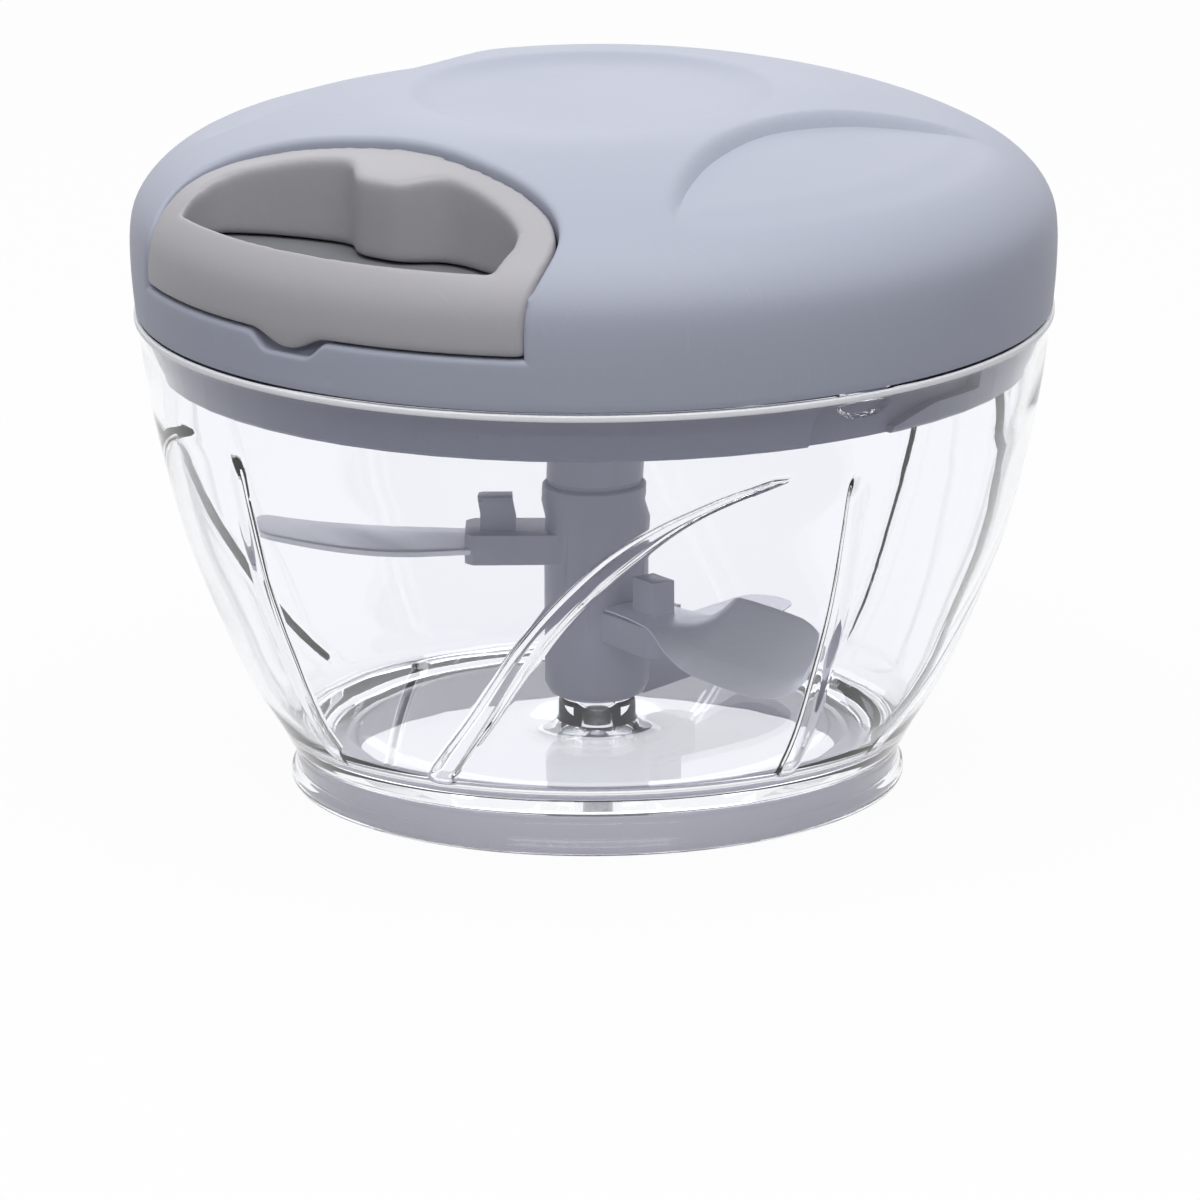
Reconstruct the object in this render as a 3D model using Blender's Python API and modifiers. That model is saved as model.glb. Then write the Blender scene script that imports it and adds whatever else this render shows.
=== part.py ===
"""Hand-pulled food chopper: a clear bowl, a lid with a cord-driven reel, and a shaft with three blades.

Metres, +Z up. The origin is the centre of the resting ring's underside.
The handle pulls out along -Y. Angles are in degrees, measured from -Y towards +X.
At rest the lid sits on the bowl unlocked, with the bowl's lugs at the mouths of its channels.
"""
import math

import bmesh
import bpy
import numpy as np
from mathutils import Matrix, Vector

GAP = 0.0003
RING_STEPS = 56
INNER_STEPS = 36
SMALL_STEPS = 24
EMBED = 0.0008

# Bowl
RIM_HEIGHT = 0.0662
RIM_RADIUS = 0.0617
WALL_FOOT_HEIGHT = 0.0070
WALL_FOOT_RADIUS = 0.0421
WALL_SHARES = (
    (0.0150, 0.244898),
    (0.0250, 0.479592),
    (0.0350, 0.678571),
    (0.0450, 0.816327),
    (0.0550, 0.923469),
)
WALL_FLARE = RIM_RADIUS - WALL_FOOT_RADIUS
BOWL_STATIONS = (
    (WALL_FOOT_HEIGHT, WALL_FOOT_RADIUS),
    *((height, WALL_FOOT_RADIUS + share * WALL_FLARE) for height, share in WALL_SHARES),
    (RIM_HEIGHT, RIM_RADIUS),
)
BOWL_ROWS = 8
BOWL_INNER_ROWS = 7
BOWL_WALL = 0.0021
FLOOR_TOP = 0.0085
FLOOR_THICKNESS = 0.0022
FLOOR_RADIUS = 0.0385
FOOT_RADIUS = 0.0417
FOOT_WAIST_RADIUS = 0.0411
FOOT_WAIST_HEIGHT = 0.0044
FOOT_INNER_RADIUS = 0.0395
FOOT_LIFT = 0.0004
PIN_RADIUS = 0.0020
PIN_TOP = 0.0550
PIN_FOOT = 0.0079
BOSS_RADIUS = 0.0052
BOSS_HEIGHT = 0.0032

# Ribs on the inside of the bowl
RIB_COUNT = 4
RIB_WIDTH = 0.0018
RIB_HEIGHT = 0.0015
RIB_FOOT = 0.0110
STRAIGHT_RIB_ANGLE = 76.5
STRAIGHT_RIB_TOP = 0.0545
SWEPT_RIB_STATIONS = (
    (0.0108, 11.2),
    (0.0207, 21.8),
    (0.0313, 30.2),
    (0.0411, 39.0),
    (0.0480, 47.0),
    (0.0520, 54.0),
    (0.0542, 66.0),
)

# Bayonet lock
LUG_ANGLES = (76.3, 256.3)
LUG_HALF_WIDTH = 0.0042
LUG_HALF_HEIGHT = 0.0019
LUG_REACH = 0.0019
LUG_DROP = 0.0020
LUG_HEIGHT = RIM_HEIGHT - LUG_DROP
LOCK_TURN = 17.0
CHANNEL_DEPTH = 0.0024
LIP_START = 5.5
LIP_END = 13.0
RAMP_STATIONS = ((-7.5, -0.0029), (-7.1, -0.0013), (-6.3, 0.0005))
RAMP_TOP_TURN = -5.2

# Resting ring under the foot
BASE_RING_WIDTH = 0.0049
BASE_RING_HEIGHT = 0.0059

# Blade shaft
SHAFT_RADIUS = 0.0071
SHAFT_BOTTOM = FLOOR_TOP + BOSS_HEIGHT + GAP
SHAFT_SHOULDER = 0.0415
NECK_STEP = 0.0005
NECK_RADIUS = SHAFT_RADIUS - NECK_STEP
DOG_HEIGHT = 0.0057
DOG_INNER_RADIUS = 0.0030
DOG_ANGLE = 48.0
DOG_COUNT = 3
DOG_SIDE_PLAY = 3.5
ARM_REACH = 0.0178
ARM_WIDTH = 0.0070
ARM_HEIGHT = 0.0042
PEG_CIRCLE = 0.0134
PEG_LENGTH = 0.0048
PEG_WIDTH = 0.0034
PEG_HEIGHT = 0.0050

# Blades: name, angle, height, reach, pitch at root, pitch at tip, rise of the tip
BLADES = (
    ("blade_high", -49.5, 0.0342, 0.0462, 0.0, 5.0, 0.0028),
    ("blade_mid", 75.5, 0.0258, 0.0446, 0.0, 58.0, -0.0010),
    ("blade_low", 180.0, 0.0162, 0.0412, 0.0, -6.0, -0.0004),
)
BLADE_THICKNESS = 0.0009
BLADE_EDGE = 0.0003
BLADE_ROOT = 0.0078
BLADE_SWEEP = 0.0030
BLADE_TWIST_FROM = 0.40
BLADE_CHORDS = (
    (0.00, 0.0080),
    (0.27, 0.0088),
    (0.45, 0.0118),
    (0.70, 0.0134),
    (0.86, 0.0118),
    (0.95, 0.0080),
    (1.00, 0.0030),
)
BLADE_STEPS = 13

# Lid: heights are above its lower lip
LID_BOTTOM = RIM_HEIGHT + GAP
LID_OVERHANG = 0.0007
LID_RADIUS = RIM_RADIUS + LID_OVERHANG
LIP_RADIUS = RIM_RADIUS + 0.0001
LIP_WALL = 0.00095
LID_WALL = 0.0019
DISH_STATIONS = (
    (0.0000, 0.0281),
    (0.0120, 0.0283),
    (0.0205, 0.0288),
)
DISH_EDGE_RADIUS = 0.0245
SHOULDER_INSET = 0.0044
DOME_SHARES = (
    (0.0, 0.0290),
    (0.164179, 0.0285),
    (0.343284, 0.0274),
    (0.522388, 0.0258),
    (0.701493, 0.0238),
    (0.880597, 0.0212),
)
DOME_SPAN = LID_RADIUS - SHOULDER_INSET - DISH_EDGE_RADIUS
LID_TOP_STATIONS = (
    *DISH_STATIONS,
    *((DISH_EDGE_RADIUS + share * DOME_SPAN, rise) for share, rise in DOME_SHARES),
)
SHOULDER_STATIONS = ((SHOULDER_INSET, 0.0188), (0.0019, 0.0163), (0.0005, 0.0139), (0.0000, 0.0105), (0.0000, 0.0070))
LIP_TAPER_HEIGHT = 0.0030
CAVITY_TOP = 0.0259
CAVITY_TOP_RADIUS = 0.0305
CAVITY_SHOULDER_INSET = 0.0025
CAVITY_SHARES = (
    (0.2, 0.0239),
    (0.418182, 0.0226),
    (0.636364, 0.0212),
    (0.854545, 0.0191),
)
CAVITY_SPAN = LID_RADIUS - LID_WALL - CAVITY_SHOULDER_INSET - CAVITY_TOP_RADIUS
CAVITY_STATIONS = (
    (0.0, CAVITY_TOP),
    (CAVITY_TOP_RADIUS, CAVITY_TOP),
    *((CAVITY_TOP_RADIUS + share * CAVITY_SPAN, rise) for share, rise in CAVITY_SHARES),
)
CAVITY_SHOULDER_STATIONS = ((CAVITY_SHOULDER_INSET, 0.0163), (0.0008, 0.0140), (0.0000, 0.0111), (0.0000, 0.0070))
LOBE_ANGLES = (90.0, -90.0)
LOBE_OUTLINE = (
    (0.0352, 0.0000),
    (0.0354, 0.0080),
    (0.0358, 0.0140),
    (0.0366, 0.0230),
    (0.0375, 0.0280),
    (0.0396, 0.0308),
    (0.0440, 0.0325),
    (0.0500, 0.0335),
    (0.0660, 0.0345),
)
LOBE_STATIONS = ((0.0300, 0.0269), (0.0360, 0.0258), (0.0420, 0.0245), (0.0480, 0.0231), (0.0540, 0.0211), (0.0600, 0.0181))

# Lid underside plate
SEAL_THICKNESS = 0.0011
SEAL_WIDTH = 0.0010
RABBET_RADIUS = LIP_RADIUS - LIP_WALL
PLATE_BOTTOM = RIM_HEIGHT + SEAL_THICKNESS + 2 * GAP
PLATE_THICKNESS = 0.0020
PLATE_TOP = PLATE_BOTTOM + PLATE_THICKNESS
RABBET_TOP = PLATE_TOP + GAP
SKIRT_LENGTH = 0.0089
SKIRT_BOTTOM = PLATE_BOTTOM - SKIRT_LENGTH
SKIRT_WALL = 0.0038
SKIRT_PLAY = 0.0004
COLLAR_HEIGHT = 0.0021
COLLAR_WALL = 0.0020

# Screws that hold the plate to the cover
SCREW_ANGLES = (62.0, -62.0, 140.0, -140.0)
SCREW_CIRCLE = 0.0460
SCREW_RADIUS = 0.00125
SCREW_HEAD_RADIUS = 0.0026
SCREW_HEAD_HEIGHT = 0.0016
SCREW_LENGTH = 0.0100
SCREW_BOSS_RADIUS = 0.0034
SCREW_STEPS = 16

# Handle and its pocket
HANDLE_INSETS = (
    (0.0000, 0.0276),
    (0.0055, 0.0273),
    (0.0110, 0.0265),
    (0.0165, 0.0256),
    (0.0220, 0.0242),
    (0.0268, 0.0222),
    (0.0300, 0.0198),
    (0.0320, 0.0166),
    (0.0327, 0.0129),
    (0.0327, -0.0076),
)
OPENING_INSETS = (
    (0.0000, 0.0184),
    (0.0042, 0.0186),
    (0.0068, 0.0198),
    (0.0080, 0.0222),
    (0.0120, 0.0220),
    (0.0180, 0.0207),
    (0.0232, 0.0188),
    (0.0262, 0.0164),
    (0.0272, 0.0134),
)
HANDLE_STATIONS = tuple((across, LID_RADIUS - inset) for across, inset in HANDLE_INSETS)
OPENING_STATIONS = tuple((across, LID_RADIUS - inset) for across, inset in OPENING_INSETS)
POCKET_PLAY = 0.00035
POCKET_WALL = 0.0018
POCKET_FLOOR = LID_BOTTOM + 0.0132
LEDGE_TOP = LID_BOTTOM + 0.0068
LEDGE_DEPTH = 0.0060
LEDGE_RADIUS = LID_RADIUS - LEDGE_DEPTH
HANDLE_SINK = 0.0009
GRIP_DEPTH = 0.0037
GRIP_RADIUS = LID_RADIUS - GRIP_DEPTH
TONGUE_HALF_ANGLE = 3.9
TONGUE_DROP = 0.0017
SCOOP_HALF_WIDTH = 0.0070
SCOOP_DEPTH = 0.0023
HANDLE_TRAVEL = 0.280

# Cord
CORD_RADIUS = 0.0008
CORD_RISE = 0.0063
CORD_HEIGHT = POCKET_FLOOR + CORD_RISE
CORD_PITCH = 0.0021
CORD_TURNS = 2.3
POINTS_PER_TURN = 24
CORD_BEND_REACH = 0.0290
CORD_HOLE_RADIUS = 0.0012
GUIDE_RADIUS = 0.0021
GUIDE_FLANGE_RADIUS = 0.0032
GUIDE_FLANGE_THICKNESS = 0.0010
KNOT_WALL = 0.0052
KNOT_SEAT = HANDLE_STATIONS[0][1] + KNOT_WALL
KNOT_RADIUS = 0.0020
KNOT_LENGTH = 0.0024
CHAMBER_STEP = 0.0004
CHAMBER_HALF_WIDTH = KNOT_RADIUS + CHAMBER_STEP + GAP
CHAMBER_END = KNOT_SEAT + KNOT_LENGTH + 2 * GAP
PLUG_THICKNESS = 0.0012

# Axle, and the coupler below the reel
AXLE_RADIUS = 0.0020
AXLE_REACH = 0.0025
AXLE_BOSS_RADIUS = 0.0050
COUPLER_HUB_WALL = 0.0021
COUPLER_FLOOR = 0.0020
SOCKET_PLAY = 0.0005
SOCKET_RADIUS = NECK_RADIUS + SOCKET_PLAY
SOCKET_DROP = 0.0019
SOCKET_TOP = PLATE_BOTTOM - SOCKET_DROP
SOCKET_ROOF = 0.0020
AXLE_FOOT = SOCKET_TOP + SOCKET_ROOF + GAP
DOG_TOP = SOCKET_TOP - GAP
NECK_TOP = DOG_TOP - DOG_HEIGHT
SOCKET_RIB_FOOT = NECK_TOP + 0.0010
COUPLER_HUB_RADIUS = SOCKET_RADIUS + COUPLER_HUB_WALL
COUPLER_HUB_BOTTOM = NECK_TOP - 0.0015
BORE_RADIUS = COUPLER_HUB_RADIUS + GAP
COUPLER_SEAT = PLATE_TOP + COLLAR_HEIGHT + GAP
REEL_FOOT = COUPLER_SEAT + COUPLER_FLOOR + GAP

# Reel
REEL_RADIUS = 0.0260
DRUM_RADIUS = 0.0186
DRUM_WALL = 0.0026
GROOVE_HEIGHT = 0.0072
FLANGE = 0.0010
HUB_HEIGHT = 0.0066
REEL_FLOOR = REEL_FOOT + HUB_HEIGHT
HUB_RADIUS = 0.0050
SPRING_COVER_THICKNESS = 0.0007
SPRING_TURNS = 6.5
SPRING_POINTS = 20
SPRING_THICKNESS = 0.0005
SPRING_HEIGHT = 0.0050
REEL_TOP = REEL_FLOOR + 2 * FLANGE + GROOVE_HEIGHT
AXLE_TOP = REEL_TOP + AXLE_REACH

# Coupler with its inside ratchet
COUPLER_RADIUS = 0.0172
COUPLER_WALL = 0.0023
COUPLER_TOP = REEL_FLOOR - 0.0008
RATCHET_TEETH = 12
TOOTH_DEPTH = 0.0015
TOOTH_TIP_RADIUS = COUPLER_RADIUS - COUPLER_WALL - TOOTH_DEPTH
TOOTH_SLOPE_ANGLE = 20.0
PAWL_CIRCLE = 0.0096
PAWL_PIN_RADIUS = 0.0014
PAWL_PIN_FOOT = REEL_FOOT + 0.0004
PAWL_EYE_RADIUS = 0.0029
PAWL_REACH_RADIUS = TOOTH_TIP_RADIUS + 0.0008
PAWL_LEAD = 28.0
PAWL_TIP_RADIUS = 0.0009
PAWL_TIP_PLAY = 11.0
PAWL_BOTTOM = REEL_FOOT + 0.0010
PAWL_TOP = REEL_FLOOR - 0.0014
PAWL_ANGLES = (90.0, 270.0)

COLORS = {
    "clear_plastic": ((0.93, 0.94, 0.97, 1.0), 0.06, 0.0, 0.30),
    "lid_plastic": ((0.47, 0.51, 0.62, 1.0), 0.42, 0.0, 1.0),
    "plate_plastic": ((0.33, 0.34, 0.39, 1.0), 0.40, 0.0, 1.0),
    "handle_plastic": ((0.53, 0.53, 0.54, 1.0), 0.42, 0.0, 1.0),
    "shaft_plastic": ((0.13, 0.13, 0.15, 1.0), 0.45, 0.0, 1.0),
    "blade_steel": ((0.60, 0.60, 0.62, 1.0), 0.28, 1.0, 1.0),
    "bright_steel": ((0.70, 0.70, 0.72, 1.0), 0.22, 1.0, 1.0),
    "grey_rubber": ((0.48, 0.48, 0.50, 1.0), 0.70, 0.0, 1.0),
    "white_nylon": ((0.85, 0.85, 0.84, 1.0), 0.50, 0.0, 1.0),
    "cord": ((0.80, 0.80, 0.80, 1.0), 0.75, 0.0, 1.0),
}


def clear_scene():
    for obj in list(bpy.data.objects):
        bpy.data.objects.remove(obj, do_unlink=True)


def new_collection(name):
    made = bpy.data.collections.new(name)
    bpy.context.scene.collection.children.link(made)
    return made


def make_material(name):
    color, roughness, metallic, alpha = COLORS[name]
    made = bpy.data.materials.new(name)
    made.use_nodes = True
    shader = made.node_tree.nodes["Principled BSDF"]
    shader.inputs["Base Color"].default_value = color
    shader.inputs["Roughness"].default_value = roughness
    shader.inputs["Metallic"].default_value = metallic
    shader.inputs["Alpha"].default_value = alpha
    made.diffuse_color = color[:3] + (alpha,)
    return made


clear_scene()
PARTS = new_collection("cord_chopper")
CUTTERS = new_collection("cutters")
MATERIALS = {name: make_material(name) for name in COLORS}


def direction(angle):
    turn = math.radians(angle)
    return Vector((math.sin(turn), -math.cos(turn), 0.0))


def polar(radius, angle, height=0.0):
    point = direction(angle) * radius
    return Vector((point.x, point.y, height))


def add_object(name, mesh, material=None):
    """Links a mesh as a part, or as a hidden cutter when it has no material."""
    obj = bpy.data.objects.new(name, mesh)
    if material:
        PARTS.objects.link(obj)
        mesh.materials.append(MATERIALS[material])
    else:
        CUTTERS.objects.link(obj)
        obj.hide_render = True
        obj.display_type = "WIRE"
    return obj


def finish_mesh(bm, name, smooth_angle=35.0):
    mesh = bpy.data.meshes.new(name)
    bm.to_mesh(mesh)
    bm.free()
    mesh.shade_smooth()
    mesh.set_sharp_from_angle(angle=math.radians(smooth_angle))
    return mesh


def turned(name, profile, material=None, steps=RING_STEPS, closed=True):
    """A turned shape. The (radius, height) profile runs down its outer side."""
    bm = bmesh.new()
    verts = [bm.verts.new((radius, 0.0, height)) for radius, height in profile]
    for first, second in zip(verts, verts[1:]):
        bm.edges.new((first, second))
    if closed:
        bm.edges.new((verts[-1], verts[0]))
    mesh = bpy.data.meshes.new(name)
    bm.to_mesh(mesh)
    bm.free()
    obj = add_object(name, mesh, material)
    screw = obj.modifiers.new("turn", "SCREW")
    screw.axis = "Z"
    screw.angle = math.tau
    screw.steps = steps
    screw.render_steps = steps
    screw.use_merge_vertices = True
    screw.merge_threshold = 0.00001
    screw.use_smooth_shade = True
    return obj


def prism(name, outline, bottom, top, material=None):
    """An outline in plan, extruded from one height to another."""
    bm = bmesh.new()
    face = bm.faces.new([bm.verts.new((x, y, bottom)) for x, y in outline])
    bmesh.ops.recalc_face_normals(bm, faces=[face])
    raised = bmesh.ops.extrude_face_region(bm, geom=[face])
    moved = [item for item in raised["geom"] if isinstance(item, bmesh.types.BMVert)]
    bmesh.ops.translate(bm, verts=moved, vec=(0.0, 0.0, top - bottom))
    bmesh.ops.recalc_face_normals(bm, faces=bm.faces)
    return add_object(name, finish_mesh(bm, name), material)


def cylinder(name, radius, bottom, top, center=(0.0, 0.0), material=None, steps=SMALL_STEPS):
    bm = bmesh.new()
    place = Matrix.Translation((center[0], center[1], (bottom + top) / 2))
    bmesh.ops.create_cone(
        bm,
        cap_ends=True,
        segments=steps,
        radius1=radius,
        radius2=radius,
        depth=top - bottom,
        matrix=place,
    )
    return add_object(name, finish_mesh(bm, name), material)


def box(name, low, high, material=None):
    bm = bmesh.new()
    low = Vector(low)
    high = Vector(high)
    size = high - low
    place = Matrix.Translation((low + high) / 2) @ Matrix.Diagonal((*size, 1.0))
    bmesh.ops.create_cube(bm, size=1.0, matrix=place)
    return add_object(name, finish_mesh(bm, name), material)


def boolean(obj, other, operation):
    made = obj.modifiers.new(f"{operation.lower()}_{other.name}", "BOOLEAN")
    made.operation = operation
    made.object = other
    made.solver = "EXACT"
    return made


def cut(obj, *cutters):
    for cutter in cutters:
        boolean(obj, cutter, "DIFFERENCE")


def join(obj, *others):
    for other in others:
        boolean(obj, other, "UNION")


def keep_inside(obj, other):
    boolean(obj, other, "INTERSECT")


def smooth_between(stations, value):
    """A monotone cubic through (input, output) stations, read at one value."""
    xs = np.array([station[0] for station in stations])
    ys = np.array([station[1] for station in stations])
    steps = np.diff(xs)
    slopes = np.diff(ys) / steps
    tangents = np.empty(len(xs))
    tangents[0] = slopes[0]
    tangents[-1] = slopes[-1]
    for i in range(1, len(xs) - 1):
        before, after = slopes[i - 1], slopes[i]
        tangents[i] = 0.0 if before * after <= 0 else 2 * before * after / (before + after)
    value = min(max(value, xs[0]), xs[-1])
    i = min(int(np.searchsorted(xs, value, side="right")) - 1, len(xs) - 2)
    t = (value - xs[i]) / steps[i]
    return float(
        (1 + 2 * t) * (1 - t) ** 2 * ys[i]
        + t * (1 - t) ** 2 * steps[i] * tangents[i]
        + t * t * (3 - 2 * t) * ys[i + 1]
        + t * t * (t - 1) * steps[i] * tangents[i + 1]
    )


def bowl_outer(height):
    return smooth_between(BOWL_STATIONS, height)


def bowl_inner(height):
    slope = (bowl_outer(height + 0.0005) - bowl_outer(height - 0.0005)) / 0.001
    return bowl_outer(height) - BOWL_WALL * math.hypot(1.0, slope)


def arc_points(radius, start, end, count):
    return [polar(radius, angle).xy for angle in np.linspace(start, end, count)]


def tube(name, points, radius, material):
    """A cord or wire along the points, capped flat at both ends."""
    curve = bpy.data.curves.new(name, "CURVE")
    curve.dimensions = "3D"
    curve.bevel_depth = radius
    curve.bevel_resolution = 1
    curve.use_fill_caps = True
    spline = curve.splines.new("POLY")
    spline.points.add(len(points) - 1)
    for target, point in zip(spline.points, points):
        target.co = (*point, 1.0)
    obj = bpy.data.objects.new(name, curve)
    PARTS.objects.link(obj)
    curve.materials.append(MATERIALS[material])
    return obj


def circle(radius, steps, center=(0.0, 0.0)):
    turns = np.linspace(0.0, math.tau, steps, endpoint=False)
    return [(center[0] + radius * math.cos(t), center[1] + radius * math.sin(t)) for t in turns]


def bar(near, far, width, angle):
    """A rectangle in plan that runs outward from one radius to another."""
    out = direction(angle)
    side = Vector((-out.y, out.x, 0.0)) * (width / 2)
    corners = (out * near - side, out * far - side, out * far + side, out * near + side)
    return [corner.xy for corner in corners]


def sector(near, far, start, end, count=8):
    return arc_points(far, start, end, count) + arc_points(near, end, start, count)


def hull(points):
    """The convex hull of plan points, counterclockwise."""
    ordered = sorted((float(x), float(y)) for x, y in points)

    def chain(run):
        kept = []
        for point in run:
            while len(kept) > 1:
                (ax, ay), (bx, by) = kept[-2], kept[-1]
                if (bx - ax) * (point[1] - ay) - (by - ay) * (point[0] - ax) > 1e-12:
                    break
                kept.pop()
            kept.append(point)
        return kept[:-1]

    return chain(ordered) + chain(ordered[::-1])


def add_prism(bm, outline, bottom, top, place=None):
    place = place or Matrix.Identity(4)
    face = bm.faces.new([bm.verts.new(place @ Vector((x, y, bottom))) for x, y in outline])
    raised = bmesh.ops.extrude_face_region(bm, geom=[face])
    moved = [item for item in raised["geom"] if isinstance(item, bmesh.types.BMVert)]
    push = place.to_3x3() @ Vector((0.0, 0.0, top - bottom))
    bmesh.ops.translate(bm, verts=moved, vec=push)


def prisms(name, shapes, material=None):
    """Several separate prisms in one mesh, each an (outline, bottom, top)."""
    bm = bmesh.new()
    for shape in shapes:
        add_prism(bm, *shape)
    bmesh.ops.recalc_face_normals(bm, faces=bm.faces)
    return add_object(name, finish_mesh(bm, name), material)


def skin(bm, rings):
    """Joins rings of the same number of points into one closed body."""
    rows = [[bm.verts.new(point) for point in ring] for ring in rings]
    count = len(rows[0])
    for row, following in zip(rows, rows[1:]):
        for i in range(count):
            j = (i + 1) % count
            bm.faces.new((row[i], row[j], following[j], following[i]))
    bm.faces.new(rows[0][::-1])
    bm.faces.new(rows[-1])


def add_rib(bm, stations):
    """A rib along (height, angle) stations on the bowl's inner wall."""
    path = [polar(bowl_inner(height), angle, height) for height, angle in stations]
    rings = []
    for i, (height, angle) in enumerate(stations):
        along = (path[min(i + 1, len(path) - 1)] - path[max(i - 1, 0)]).normalized()
        out = direction(angle)
        side = along.cross(out).normalized() * (RIB_WIDTH / 2)
        root = path[i] + out * EMBED
        crest = path[i] - out * RIB_HEIGHT
        rings.append((root - side, root + side, crest + side * 0.7, crest - side * 0.7))
    skin(bm, rings)


def swept_rib(turn):
    rows = []
    for height in (0.0108, 0.0180, 0.0270, 0.0350, 0.0410, 0.0460, 0.0500, 0.0525, 0.0542):
        rows.append((height, turn + smooth_between(SWEPT_RIB_STATIONS, height)))
    return rows


def make_bowl():
    heights = [float(height) for height in np.linspace(RIM_HEIGHT, BOWL_STATIONS[0][0], BOWL_ROWS)]
    first = FLOOR_TOP + 0.0043
    inner_heights = [float(height) for height in np.linspace(first, RIM_HEIGHT, BOWL_INNER_ROWS)]
    underside = FLOOR_TOP - FLOOR_THICKNESS
    outside = [(bowl_outer(height), height) for height in heights]
    foot = [
        (FOOT_WAIST_RADIUS, FOOT_WAIST_HEIGHT),
        (FOOT_RADIUS, FOOT_WAIST_HEIGHT - 0.0016),
        (FOOT_RADIUS, FOOT_LIFT + 0.0003),
        (FOOT_RADIUS - 0.0003, FOOT_LIFT),
        (FOOT_INNER_RADIUS, FOOT_LIFT),
        (FOOT_INNER_RADIUS, underside),
        (0.0, underside),
    ]
    floor = [
        (0.0, PIN_FOOT - GAP),
        (PIN_RADIUS + GAP, PIN_FOOT - GAP),
        (PIN_RADIUS + GAP, FLOOR_TOP + BOSS_HEIGHT),
        (BOSS_RADIUS - 0.0006, FLOOR_TOP + BOSS_HEIGHT),
        (BOSS_RADIUS, FLOOR_TOP + BOSS_HEIGHT - 0.0006),
        (BOSS_RADIUS, FLOOR_TOP),
        (FLOOR_RADIUS, FLOOR_TOP),
        (FLOOR_RADIUS + 0.0021, FLOOR_TOP + 0.0007),
        (FLOOR_RADIUS + 0.0035, FLOOR_TOP + 0.0020),
    ]
    inside = [(bowl_inner(height), height) for height in inner_heights]
    bowl = turned("bowl", floor + inside + outside + foot, "clear_plastic", closed=False)

    bm = bmesh.new()
    for quarter in range(RIB_COUNT):
        turn = quarter * 360.0 / RIB_COUNT
        straight = np.linspace(RIB_FOOT, STRAIGHT_RIB_TOP, 6)
        add_rib(bm, [(float(height), STRAIGHT_RIB_ANGLE + turn) for height in straight])
        add_rib(bm, swept_rib(turn))
    for angle in LUG_ANGLES:
        out = direction(angle)
        across = Vector((-out.y, out.x, 0.0))
        up = Vector((0.0, 0.0, 1.0))
        place = Matrix((across, up, out)).transposed().to_4x4()
        place.translation = up * LUG_HEIGHT
        turns = np.linspace(0.0, math.tau, 20, endpoint=False)
        oval = [(LUG_HALF_WIDTH * math.cos(t), LUG_HALF_HEIGHT * math.sin(t)) for t in turns]
        wall = bowl_inner(LUG_HEIGHT)
        add_prism(bm, oval, wall - LUG_REACH, wall + EMBED, place)
    bmesh.ops.recalc_face_normals(bm, faces=bm.faces)
    join(bowl, add_object("bowl_ribs", finish_mesh(bm, "bowl_ribs")))
    return bowl


def make_base_ring():
    outer = FOOT_INNER_RADIUS - GAP
    inner = outer - BASE_RING_WIDTH
    top = FLOOR_TOP - FLOOR_THICKNESS - GAP
    edge = 0.0005
    profile = [
        (inner, top),
        (outer, top),
        (outer, edge),
        (outer - edge, 0.0),
        (inner + edge, 0.0),
        (inner, edge),
    ]
    return turned("base_ring", profile, "grey_rubber")


def make_center_pin():
    edge = 0.0006
    profile = [
        (0.0, PIN_TOP),
        (PIN_RADIUS - edge, PIN_TOP),
        (PIN_RADIUS, PIN_TOP - edge),
        (PIN_RADIUS, PIN_FOOT),
        (0.0, PIN_FOOT),
    ]
    return turned("center_pin", profile, "bright_steel", SMALL_STEPS, closed=False)


def arm_top(height):
    return height - BLADE_THICKNESS / 2 - GAP


def make_blade_shaft():
    bore = PIN_RADIUS + GAP
    profile = [
        (0.0, NECK_TOP),
        (NECK_RADIUS - 0.0005, NECK_TOP),
        (NECK_RADIUS, NECK_TOP - 0.0005),
        (NECK_RADIUS, SHAFT_SHOULDER + 0.0007),
        (NECK_RADIUS - 0.0003, SHAFT_SHOULDER + 0.0004),
        (NECK_RADIUS - 0.0003, SHAFT_SHOULDER),
        (SHAFT_RADIUS - 0.0003, SHAFT_SHOULDER),
        (SHAFT_RADIUS, SHAFT_SHOULDER - 0.0003),
        (SHAFT_RADIUS, SHAFT_BOTTOM + 0.0018),
        (SHAFT_RADIUS - 0.0006, SHAFT_BOTTOM + 0.0006),
        (SHAFT_RADIUS - 0.0018, SHAFT_BOTTOM),
        (bore, SHAFT_BOTTOM),
        (bore, PIN_TOP + GAP),
        (0.0, PIN_TOP + GAP),
    ]
    shaft = turned("blade_shaft", profile, "shaft_plastic", 40, closed=False)
    arms = []
    pegs = []
    for _, angle, height, *_ in BLADES:
        top = arm_top(height)
        corner = 0.0012
        wide = bar(0.0058, ARM_REACH - corner, ARM_WIDTH, angle)
        narrow = bar(0.0058, ARM_REACH, ARM_WIDTH - 2 * corner, angle)
        arms.append((hull(wide + narrow), top - ARM_HEIGHT, top))
        near = PEG_CIRCLE - PEG_LENGTH / 2
        far = PEG_CIRCLE + PEG_LENGTH / 2
        pegs.append((bar(near, far, PEG_WIDTH, angle), top - EMBED, height + PEG_HEIGHT))
    dogs = []
    for i in range(DOG_COUNT):
        middle = i * 360.0 / DOG_COUNT
        plan = sector(DOG_INNER_RADIUS, NECK_RADIUS - 0.0002, middle - DOG_ANGLE / 2, middle + DOG_ANGLE / 2)
        dogs.append((plan, NECK_TOP - EMBED, DOG_TOP))
    join(shaft, prisms("shaft_arms", arms), prisms("shaft_pegs", pegs), prisms("shaft_dogs", dogs))
    return shaft


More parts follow.
